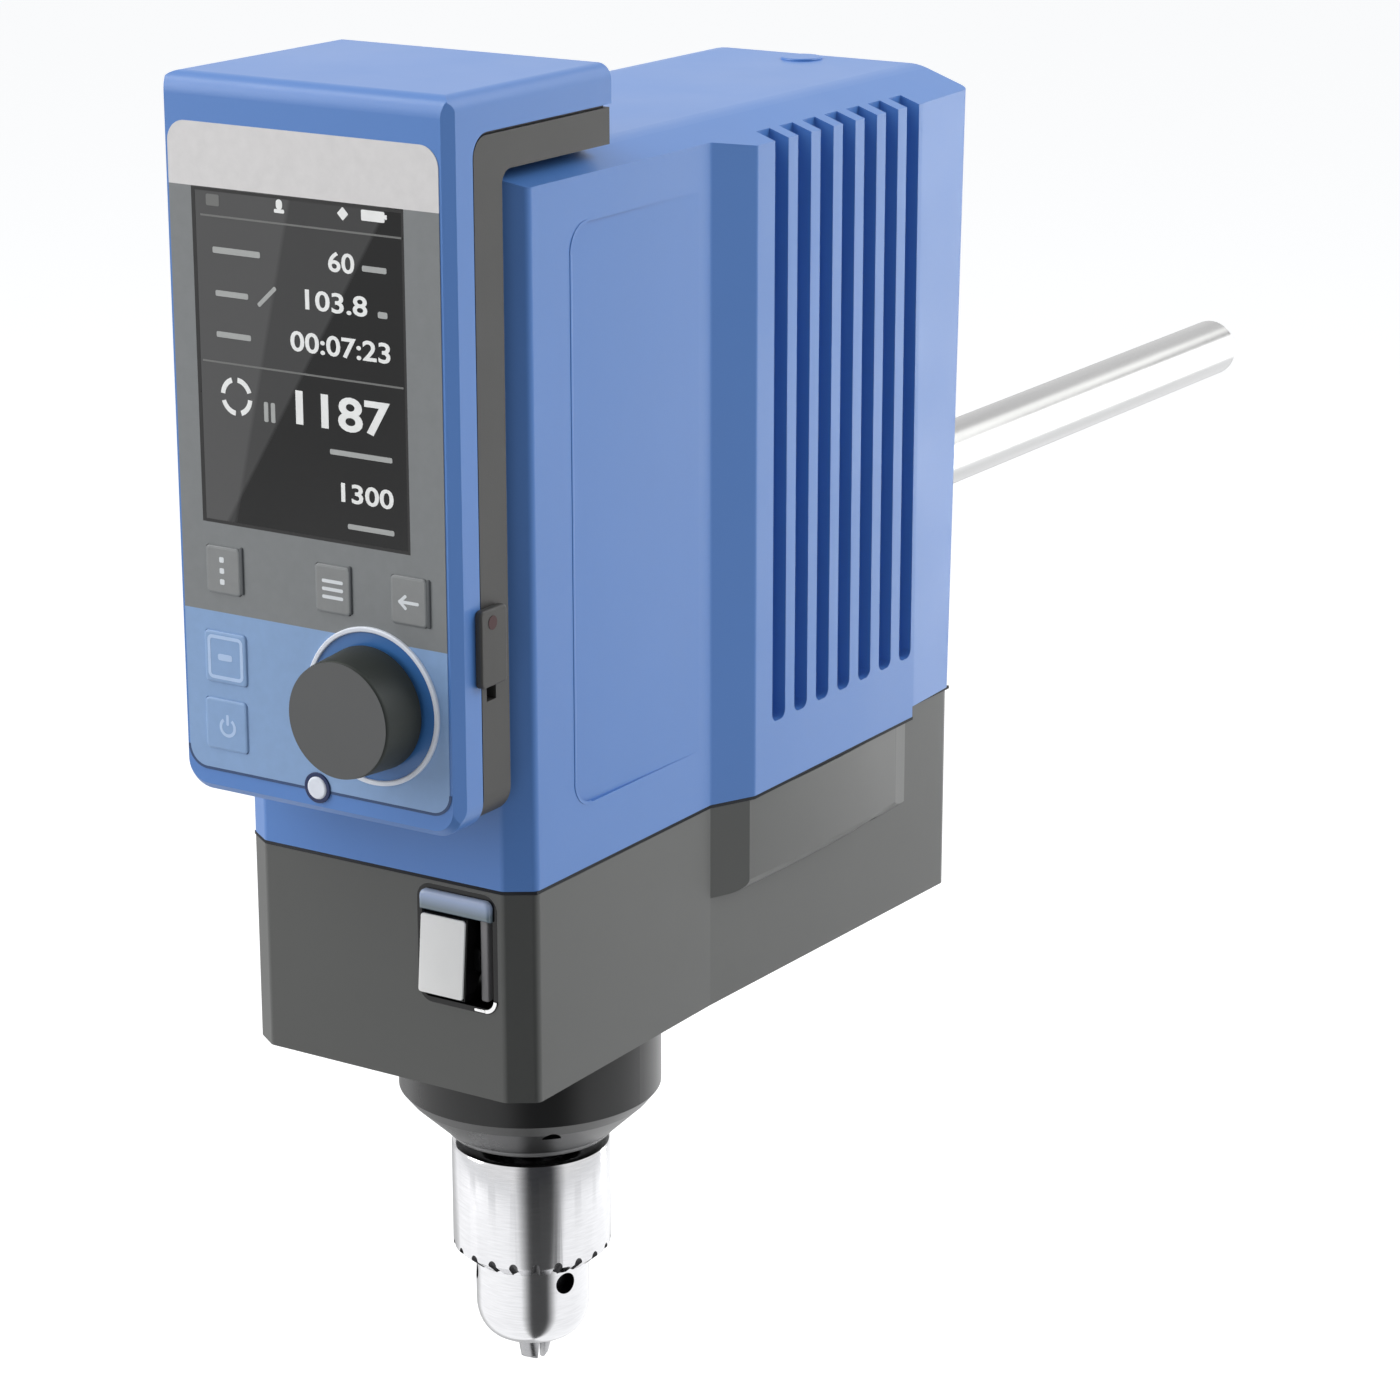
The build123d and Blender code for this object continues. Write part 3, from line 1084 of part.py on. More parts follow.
def panel_sheet(low_z, high_z):
    """One band of the front overlay with its holes, before its outer corners are rounded."""
    y = (PANEL_FACE_Y, PANEL_BACK_Y)
    whole = sheet_xz((-PANEL_HALF, PANEL_SPLITS[0]), (PANEL_HALF, PANEL_SPLITS[-1]), y, PANEL_CORNER)
    band = whole & block((-PANEL_HALF, PANEL_HALF), (y[0] - 1, y[1] + 1), (low_z, high_z))
    for hole in head_openings((y[0] - 1, y[1] + 1)):
        band -= hole
    return band


def make_label_strip():
    """Bare white strip across the top of the panel."""
    return panel_sheet(PANEL_SPLITS[2], PANEL_SPLITS[3])


def make_display_panel():
    """Grey panel round the display."""
    band = panel_sheet(PANEL_SPLITS[1], PANEL_SPLITS[2])
    return band - sheet_xz(GLASS_LOW, (GLASS_HIGH[0], PANEL_SPLITS[2] + 1),
                           (PANEL_FACE_Y - 1, PANEL_BACK_Y + 1))


def make_lower_panel():
    """Blue panel below the display, with the knob and two keys."""
    return panel_sheet(PANEL_SPLITS[0], PANEL_SPLITS[1])


def make_display_glass():
    """Dark glass of the display."""
    return sheet_xz(GLASS_LOW, (GLASS_HIGH[0], PANEL_SPLITS[2]), (PANEL_FACE_Y + 0.05, PANEL_BACK_Y))


def make_display_module():
    """Display panel behind the glass."""
    window = 1.2
    body = sheet_xz((GLASS_LOW[0] + window, GLASS_LOW[1] + window),
                    (GLASS_HIGH[0] - window, GLASS_HIGH[1] - window),
                    (PANEL_BACK_Y, SHELL_INNER_Y))
    body += sheet_xz((GLASS_LOW[0] + 0.6, GLASS_LOW[1] - 1.0), (GLASS_HIGH[0] - 0.6, GLASS_HIGH[1] + 0.6),
                     (SHELL_INNER_Y, BOARD_Y))
    return body


def make_control_board():
    """Main board of the head."""
    low = (-BOARD_HALF, HEAD_CAVITY_Z[0] + 1)
    high = (BOARD_HALF, HEAD_CAVITY_Z[1] - 1)
    return sheet_xz(low, high, (BOARD_Y, BOARD_Y + BOARD_T), 2.0)


def make_battery_pack():
    """Flat rechargeable battery behind the board."""
    low = (-BATTERY_HALF, BATTERY_Z[0])
    high = (BATTERY_HALF, BATTERY_Z[1])
    return sheet_xz(low, high, (BOARD_Y + BOARD_T, HEAD_FRAME_REAR_Y - HEAD_WALL), 2.5)


def make_rotary_encoder():
    """Encoder body on the board, with its bush through the front."""
    half = 6.5
    body = sheet_xz((KNOB_X - half, KNOB_Z - half), (KNOB_X + half, KNOB_Z + half), (SHELL_INNER_Y, BOARD_Y))
    body += bar_y(BUSH_R, (PANEL_FACE_Y - 0.5, SHELL_INNER_Y), KNOB_X, KNOB_Z)
    return body - bar_y(ENCODER_R + 0.06, (PANEL_FACE_Y - 1, BOARD_Y - 1), KNOB_X, KNOB_Z)


def make_encoder_shaft():
    """Turning shaft of the encoder, which carries the knob."""
    return bar_y(ENCODER_R, (PANEL_FACE_Y - KNOB_GAP - KNOB_H + 2.4, SHELL_INNER_Y + 2.2), KNOB_X, KNOB_Z)


def make_encoder_plunger():
    """Push plunger behind the encoder shaft."""
    return bar_y(ENCODER_R - 0.3, (SHELL_INNER_Y + 2.2, SHELL_INNER_Y + 3.2), KNOB_X, KNOB_Z)


def make_control_knob():
    """Round knob with a slight draft, hollow behind round a hub."""
    front = PANEL_FACE_Y - KNOB_GAP - KNOB_H
    profile = Polygon((0, 0), (KNOB_R - 0.8, 0), (KNOB_R, KNOB_H), (0, KNOB_H), align=None)
    solid = revolve(Plane.XZ * profile, Axis.Z)
    front_edge = [e for e in solid.edges() if e.center().Z < 0.01 and e.length > 10]
    solid = fillet(front_edge, 1.3)
    solid -= post(KNOB_R - 2.6, (3.0, KNOB_H + 1)) - post(ENCODER_R + 2.4, (2, KNOB_H + 2))
    solid -= post(ENCODER_R, (2.4, KNOB_H + 1))
    return Pos(KNOB_X, front, KNOB_Z) * Rot(-90, 0, 0) * solid


def make_dial_ring():
    """Thin ring on the panel round the knob."""
    y = (PANEL_FACE_Y - 0.7, PANEL_FACE_Y)
    body = bar_y(DIAL_R, y, KNOB_X, KNOB_Z) - bar_y(DIAL_R - DIAL_RIM, (y[0] - 1, y[1] + 1), KNOB_X, KNOB_Z)
    front = [e for e in body.edges() if e.center().Y < y[0] + 0.01]
    return fillet(front, 0.3)


def make_status_lamp():
    """Round status lamp on the lower line of the panel."""
    lamp = bar_y(LED_R, (PANEL_FACE_Y - 0.6, SHELL_INNER_Y + 1), 0, LED_Z)
    front = [e for e in lamp.edges() if e.center().Y < PANEL_FACE_Y - 0.5]
    lamp = fillet(front, 0.5)
    return lamp + bar_y(LED_R + LED_RING, (PANEL_FACE_Y - 0.1, SHELL_INNER_Y), 0, LED_Z)


def make_key(at, size):
    """A key cap with a retaining flange and a stem."""
    cap = key_plate(at, size, (PANEL_FACE_Y - KEY_PROUD, SHELL_INNER_Y + 0.1))
    front = [e for e in cap.edges() if e.center().Y < PANEL_FACE_Y - KEY_PROUD + 0.01]
    cap = fillet(front, 0.3)
    cap += key_plate(at, size, (SHELL_INNER_Y + 0.1, SHELL_INNER_Y + 0.9), 0.6)
    stem = (SHELL_INNER_Y + 0.9, BOARD_Y - 2.2 - KEY_TRAVEL - 0.15)
    return cap + bar_y(1.6, stem, at[0], at[1])


def make_release_slider():
    """Sliding latch on the right of the head."""
    x = HEAD_HALF + 0.2
    width = SLIDER_Y[1] - SLIDER_Y[0]
    height = SLIDER_Z[1] - SLIDER_Z[0]
    plate = extrude(Plane.YZ * RectangleRounded(width, height, 1.2), SLIDER_T)
    plate = Pos(x, (SLIDER_Y[0] + SLIDER_Y[1]) / 2, (SLIDER_Z[0] + SLIDER_Z[1]) / 2) * plate
    outer = [e for e in plate.edges() if e.center().X > x + SLIDER_T - 0.01]
    plate = fillet(outer, 0.5)
    foot = block((HEAD_CAVITY_HALF - 1, x), (SLIDER_Y[0] + 4.6, SLIDER_Y[1] - 1.9),
                 (SLIDER_Z[0] + 1.0, SLIDER_Z[1] - 2.0))
    return plate + foot


# ---------------------------------------------------------------- export
def export(name, shape):
    """Write one node, always as plain solids."""
    solids = shape.solids()
    export_step(solids[0] if len(solids) == 1 else Compound(solids), f"parts/{name}.step")


def main():
    os.makedirs("parts", exist_ok=True)
    parts = {
        "main_housing": make_main_housing(),
        "base_housing": make_base_housing(),
        "seam_gasket": make_seam_gasket(),
        "roof_plug": make_roof_plug(),
        "spindle_port_cap": make_spindle_port_cap(),
        "docking_rail": make_docking_rail(),
        "dock_socket": make_dock_socket(),
        "spindle_flange": make_spindle_flange(),
        "flange_screws": make_flange_screws(),
        "lower_bearing": make_ball_bearing(LOWER_BEARING_Z),
        "upper_bearing": make_ball_bearing(PLATE_Z),
        "spindle_bush": make_spindle_bush(),
        "drive_plate": make_drive_plate(),
        "motor_can": make_motor_can(),
        "motor_windings": make_motor_windings(),
        "motor_bearings": make_motor_bearings(),
        "support_rod": make_support_rod(),
        "rod_mount": make_rod_mount(),
        "switch_bezel": make_switch_bezel(),
        "switch_lens": make_switch_lens(),
        "mains_inlet": make_mains_inlet(),
        "sensor_socket": make_sensor_socket(),
        "base_screws": make_base_screws(),
        "power_board": make_power_board(),
        "power_rocker": make_power_rocker(),
        "motor_shaft": make_motor_shaft(),
        "rotor_magnet": make_rotor_magnet(),
        "motor_pinion": make_motor_pinion(),
        "cooling_fan": make_cooling_fan(),
        "hollow_spindle": make_hollow_spindle(),
        "spindle_gear": make_spindle_gear(),
        "chuck_body": make_chuck_body(),
        "chuck_sleeve": make_chuck_sleeve(),
        "ring_nut": make_ring_nut(),
        "head_shell": make_head_shell(),
        "head_frame": make_head_frame(),
        "head_screws": make_head_screws(),
        "dock_plug": make_dock_plug(),
        "label_strip": make_label_strip(),
        "display_panel": make_display_panel(),
        "lower_panel": make_lower_panel(),
        "display_glass": make_display_glass(),
        "display_module": make_display_module(),
        "control_board": make_control_board(),
        "battery_pack": make_battery_pack(),
        "rotary_encoder": make_rotary_encoder(),
        "encoder_shaft": make_encoder_shaft(),
        "encoder_plunger": make_encoder_plunger(),
        "control_knob": make_control_knob(),
        "dial_ring": make_dial_ring(),
        "status_lamp": make_status_lamp(),
        "release_slider": make_release_slider(),
    }
    for i in range(JAW_COUNT):
        parts[f"jaw_{i + 1}"] = make_jaw(i)
    for i, at in enumerate(SOFT_KEYS):
        parts[f"soft_key_{i + 1}"] = make_key(at, SOFT_KEY_SIZE)
    for name, at in zip(("start_key", "standby_key"), SQUARE_KEYS):
        parts[name] = make_key(at, SQUARE_KEY_SIZE)
    for name, shape in parts.items():
        export(name, shape)


main()
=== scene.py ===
import json
import math

import bmesh
import bpy
from mathutils import Matrix, Vector


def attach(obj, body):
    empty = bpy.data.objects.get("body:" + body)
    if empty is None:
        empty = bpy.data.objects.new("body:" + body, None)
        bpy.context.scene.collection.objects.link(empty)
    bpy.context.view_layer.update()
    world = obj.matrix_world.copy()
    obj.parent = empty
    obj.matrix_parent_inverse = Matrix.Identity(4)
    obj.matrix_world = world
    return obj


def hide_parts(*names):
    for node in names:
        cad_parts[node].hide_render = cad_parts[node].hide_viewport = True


# Overhead stirrer. Metres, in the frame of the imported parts: the origin is on the spindle
# axis at the tips of the jaws, +Z is up and the operator stands on the -Y side.

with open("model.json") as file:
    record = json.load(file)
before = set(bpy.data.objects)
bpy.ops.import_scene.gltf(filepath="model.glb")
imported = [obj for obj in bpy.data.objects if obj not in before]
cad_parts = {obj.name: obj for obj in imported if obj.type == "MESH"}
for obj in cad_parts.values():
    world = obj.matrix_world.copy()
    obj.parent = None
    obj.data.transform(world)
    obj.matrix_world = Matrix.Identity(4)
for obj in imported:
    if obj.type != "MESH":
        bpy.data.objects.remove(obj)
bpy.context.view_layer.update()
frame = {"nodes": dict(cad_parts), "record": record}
nodes = frame["nodes"]
MM = 0.001


# ---------------------------------------------------------------- camera
def aim(thing, place, target):
    """Points a camera or lamp at a target."""
    thing.location = place
    thing.rotation_euler = (Vector(target) - Vector(place)).to_track_quat("-Z", "Y").to_euler()


lens = bpy.data.cameras.new("camera")
lens.lens = 103.55
lens.sensor_width = 36.0
lens.clip_start = 0.01
lens.clip_end = 50.0
camera = bpy.data.objects.new("camera", lens)
bpy.context.collection.objects.link(camera)
aim(camera, (0.49854, -0.71255, 0.42544), (0.03325, 0.02108, 0.16208))
bpy.context.scene.camera = camera

# ---------------------------------------------------------------- light, floor and backdrop
FLOOR_Z = -0.34
LAMP_TARGET = (0.0, 0.03, 0.18)
bpy.context.scene.view_settings.view_transform = "Standard"


def softbox(name, azimuth, height, distance, size, power, colour=(1.0, 1.0, 1.0)):
    """A studio lamp at an azimuth counted from the operator's side towards +X."""
    data = bpy.data.lights.new(name, "AREA")
    data.shape = "RECTANGLE"
    data.size, data.size_y = size
    data.energy = power
    data.color = colour
    lamp = bpy.data.objects.new(name, data)
    bpy.context.collection.objects.link(lamp)
    turn = math.radians(azimuth)
    place = (distance * math.sin(turn), -distance * math.cos(turn), height)
    aim(lamp, place, LAMP_TARGET)


softbox("left_softbox", -52.0, 0.85, 2.0, (0.9, 1.4), 22.0, (1.0, 0.98, 0.98))
softbox("right_softbox", 126.0, 1.45, 1.7, (1.0, 1.2), 18.5, (0.98, 0.99, 1.0))
softbox("rear_strip", 157.0, 0.2, 1.5, (0.24, 1.0), 4.5)
softbox("top_softbox", -60.0, 1.45, 0.95, (0.7, 0.7), 8.0, (1.0, 1.0, 0.97))
softbox("rear_softbox", 161.0, 1.3, 1.8, (1.1, 0.8), 4.0, (1.0, 1.0, 0.97))


def math_node(tree, operation, first, second, clamp=False):
    """One arithmetic node; each input is a socket or a number."""
    node = tree.nodes.new("ShaderNodeMath")
    node.operation = operation
    node.use_clamp = clamp
    for socket, value in zip(node.inputs, (first, second)):
        if isinstance(value, (int, float)):
            socket.default_value = value
        else:
            tree.links.new(value, socket)
    return node.outputs[0]


def sector(tree, place, centre, half, soft):
    """1 inside a sector of azimuths seen from the spindle, 0 outside it, with soft edges."""
    split = tree.nodes.new("ShaderNodeSeparateXYZ")
    tree.links.new(place, split.inputs[0])
    turn = math.radians(centre)
    across = math_node(tree, "MULTIPLY", split.outputs["X"], math.sin(turn))
    along = math_node(tree, "MULTIPLY", split.outputs["Y"], -math.cos(turn))
    toward = math_node(tree, "ADD", across, along)
    flat = math_node(tree, "POWER", split.outputs["X"], 2.0)
    deep = math_node(tree, "POWER", split.outputs["Y"], 2.0)
    reach = math_node(tree, "SQRT", math_node(tree, "ADD", flat, deep), 0.0)
    cosine = math_node(tree, "DIVIDE", toward, math_node(tree, "MAXIMUM", reach, 0.001))
    edge = math.cos(math.radians(half + soft))
    rise = 1.0 / (math.cos(math.radians(half)) - edge)
    return math_node(tree, "MULTIPLY", math_node(tree, "SUBTRACT", cosine, edge), rise, True)


def shown_rays(tree):
    """1 for what the camera, a mirror or clear plastic shows; and 1 for a mirror alone."""
    path = tree.nodes.new("ShaderNodeLightPath")
    mirror = math_node(tree, "MAXIMUM", path.outputs["Is Glossy Ray"], path.outputs["Is Transmission Ray"])
    return math_node(tree, "MAXIMUM", path.outputs["Is Camera Ray"], mirror), path.outputs["Is Glossy Ray"]


# Cards that only polished surfaces show: azimuth, half width and soft edge in degrees.
FLAG = (47.0, 16.0, 20.0)
GREY_CARD = (-132.0, 12.0, 24.0)
RAIL_CARD = (162.0, 14.0, 8.0)
RAIL_HEIGHTS = (0.27, 0.43)    # the rail card lies between these, as the rise of the sight line
RAIL_EDGE = 18.0               # how sharply it ends above and below
GREY_CARD_DEPTH = 0.55
CARD = (0.045, 0.046, 0.05, 1.0)
SKY = (0.93, 0.96, 1.0, 1.0)
SKY_STRENGTH = 0.48
PAPER_TONE = 0.55              # what the floor paper reflects, and what it shows by itself
PAPER_GLOW = 0.70


def make_world():
    """A white studio, with a tall dark card and a low one that only polished surfaces show."""
    world = bpy.data.worlds.new("studio")
    bpy.context.scene.world = world
    world.use_nodes = True
    tree = world.node_tree
    tree.nodes.clear()
    out = tree.nodes.new("ShaderNodeOutputWorld")
    light = tree.nodes.new("ShaderNodeBackground")
    light.inputs["Color"].default_value = SKY
    light.inputs["Strength"].default_value = SKY_STRENGTH
    seen = tree.nodes.new("ShaderNodeBackground")
    seen.inputs["Color"].default_value = (1.0, 1.0, 1.0, 1.0)
    seen.inputs["Strength"].default_value = 1.0
    dim = tree.nodes.new("ShaderNodeBackground")
    dim.inputs["Color"].default_value = CARD
    dim.inputs["Strength"].default_value = 1.0
    shown, mirror = shown_rays(tree)
    place = tree.nodes.new("ShaderNodeTexCoord").outputs["Generated"]
    height = tree.nodes.new("ShaderNodeSeparateXYZ")
    tree.links.new(place, height.inputs[0])
    above = math_node(tree, "SUBTRACT", height.outputs["Z"], RAIL_HEIGHTS[0])
    below = math_node(tree, "SUBTRACT", RAIL_HEIGHTS[1], height.outputs["Z"])
    over = math_node(tree, "MULTIPLY", above, RAIL_EDGE, True)
    under = math_node(tree, "MULTIPLY", below, RAIL_EDGE, True)
    level = math_node(tree, "MULTIPLY", over, under)
    rail = math_node(tree, "MULTIPLY", level, sector(tree, place, *RAIL_CARD))
    cards = math_node(tree, "MAXIMUM", sector(tree, place, *FLAG), rail)
    shaded = math_node(tree, "MULTIPLY", cards, mirror)
    studio = tree.nodes.new("ShaderNodeMixShader")
    tree.links.new(shaded, studio.inputs[0])
    tree.links.new(seen.outputs[0], studio.inputs[1])
    tree.links.new(dim.outputs[0], studio.inputs[2])
    mix = tree.nodes.new("ShaderNodeMixShader")
    tree.links.new(shown, mix.inputs[0])
    tree.links.new(light.outputs[0], mix.inputs[1])
    tree.links.new(studio.outputs[0], mix.inputs[2])
    tree.links.new(mix.outputs[0], out.inputs["Surface"])


def make_paper():
    """Pale floor paper: it is seen as white with a faint shadow, and carries the cards' feet."""
    paper = bpy.data.materials.new("pale_paper")
    paper.use_nodes = True
    tree = paper.node_tree
    tree.nodes.clear()
    out = tree.nodes.new("ShaderNodeOutputMaterial")
    matt = tree.nodes.new("ShaderNodeBsdfDiffuse")
    glow = tree.nodes.new("ShaderNodeEmission")
    shown, mirror = shown_rays(tree)
    place = tree.nodes.new("ShaderNodeTexCoord").outputs["Object"]
    soft = math_node(tree, "MULTIPLY", sector(tree, place, *GREY_CARD), GREY_CARD_DEPTH)
    cards = math_node(tree, "MAXIMUM", sector(tree, place, *FLAG), soft)
    shaded = math_node(tree, "MULTIPLY", cards, mirror)
    bright = math_node(tree, "SUBTRACT", 1.0, math_node(tree, "MULTIPLY", shaded, 0.95))
    lit = math_node(tree, "MULTIPLY", math_node(tree, "MULTIPLY", shown, bright), PAPER_GLOW)
    tree.links.new(lit, glow.inputs["Strength"])
    dark = math_node(tree, "SUBTRACT", PAPER_TONE, math_node(tree, "MULTIPLY", shaded, 0.50))
    join = tree.nodes.new("ShaderNodeCombineColor")
    for socket in join.inputs:
        tree.links.new(dark, socket)
    tree.links.new(join.outputs[0], matt.inputs["Color"])
    both = tree.nodes.new("ShaderNodeAddShader")
    tree.links.new(matt.outputs[0], both.inputs[0])
    tree.links.new(glow.outputs[0], both.inputs[1])
    tree.links.new(both.outputs[0], out.inputs["Surface"])
    return paper


make_world()


# ---------------------------------------------------------------- finishes
def shade(hex_colour):
    """A display colour such as 6c8bc4 as a linear colour."""
    parts = [int(hex_colour[i:i + 2], 16) / 255 for i in (0, 2, 4)]
    return [c / 12.92 if c <= 0.04045 else ((c + 0.055) / 1.055) ** 2.4 for c in parts] + [1.0]


class Finish:
    """A procedural material under construction."""

    def __init__(self, name):
        self.material = bpy.data.materials.new(name)
        self.material.use_nodes = True
        self.tree = self.material.node_tree
        self.shader = self.tree.nodes["Principled BSDF"]
        self.place = self.tree.nodes.new("ShaderNodeTexCoord").outputs["Object"]
        self.height = None

    def set(self, **values):
        for key, value in values.items():
            self.shader.inputs[key.replace("_", " ")].default_value = value
        return self

    def link(self, source, target):
        self.tree.links.new(source, target)

    def noise(self, scale, detail=3.0, stretch=(1.0, 1.0, 1.0)):
        """Noise on the object's own coordinates, in features per metre."""
        mapping = self.tree.nodes.new("ShaderNodeMapping")
        mapping.inputs["Scale"].default_value = stretch
        self.link(self.place, mapping.inputs["Vector"])
        node = self.tree.nodes.new("ShaderNodeTexNoise")
        node.inputs["Scale"].default_value = scale
        node.inputs["Detail"].default_value = detail
        self.link(mapping.outputs[0], node.inputs["Vector"])
        return node.outputs["Fac"]

    def ramp(self, source, stops):
        """A colour ramp over a value."""
        node = self.tree.nodes.new("ShaderNodeValToRGB")
        elements = node.color_ramp.elements
        while len(elements) < len(stops):
            elements.new(0.5)
        for element, (position, colour) in zip(elements, stops):
            element.position = position
            element.color = colour if len(colour) == 4 else (*colour, 1.0)
        self.link(source, node.inputs["Fac"])
        return node.outputs["Color"]

    def span(self, source, low, high):
        """A value from 0 to 1 moved to another range."""
        node = self.tree.nodes.new("ShaderNodeMapRange")
        node.inputs["To Min"].default_value = low
        node.inputs["To Max"].default_value = high
        self.link(source, node.inputs["Value"])
        return node.outputs["Result"]

    def tone(self, colour, amount, scale, stretch=(1.0, 1.0, 1.0)):
        """Base colour with a soft mottle."""
        dark = [c * (1 - amount) for c in colour[:3]]
        light = [min(1.0, c * (1 + amount)) for c in colour[:3]]
        mottle = self.noise(scale, 4.0, stretch)
        self.link(self.ramp(mottle, ((0.3, dark), (0.7, light))), self.shader.inputs["Base Color"])
        return self

    def gloss(self, low, high, scale, stretch=(1.0, 1.0, 1.0)):
        """Roughness that varies a little, as handling leaves it."""
        self.link(self.span(self.noise(scale, 3.0, stretch), low, high), self.shader.inputs["Roughness"])
        return self

    def bumps(self, scale, strength, depth, stretch=(1.0, 1.0, 1.0)):
        """Fine relief."""
        node = self.tree.nodes.new("ShaderNodeBump")
        node.inputs["Strength"].default_value = strength
        node.inputs["Distance"].default_value = depth
        self.link(self.noise(scale, 2.0, stretch), node.inputs["Height"])
        if self.height:
            self.link(self.height, node.inputs["Normal"])
        self.height = node.outputs["Normal"]
        self.link(self.height, self.shader.inputs["Normal"])
        return self


def lacquer(name, colour, mottle=0.03, low=0.32, high=0.42, shine=0.5):
    """Sprayed lacquer with a fine orange peel."""
    made = Finish(name).set(IOR=1.5, Specular_IOR_Level=shine)
    made.tone(shade(colour), mottle, 14.0).gloss(low, high, 40.0).bumps(2600.0, 0.10, 0.00006)
    return made.material


def moulded(name, colour, low=0.42, high=0.55, grain=3200.0, strength=0.25):
    """Moulded plastic with a fine spark-eroded grain."""
    made = Finish(name).set(IOR=1.46, Specular_IOR_Level=0.35)
    made.tone(shade(colour), 0.05, 30.0).gloss(low, high, 60.0).bumps(grain, strength, 0.00005)
    return made.material


def polished(name, colour, low, high, stretch, scale=900.0, strength=0.08):
    """Bare metal with marks of turning or grinding along one direction."""
    made = Finish(name).set(Metallic=1.0)
    made.tone(shade(colour), 0.06, 220.0, stretch).gloss(low, high, 500.0, stretch)
    made.bumps(scale, strength, 0.00003, stretch)
    return made.material


def printed(name, colour, rough=0.5):
    """Ink or film with a faint mottle."""
    made = Finish(name).set(IOR=1.45)
    made.tone(shade(colour), 0.03, 400.0).gloss(rough - 0.05, rough + 0.05, 200.0)
    return made.material


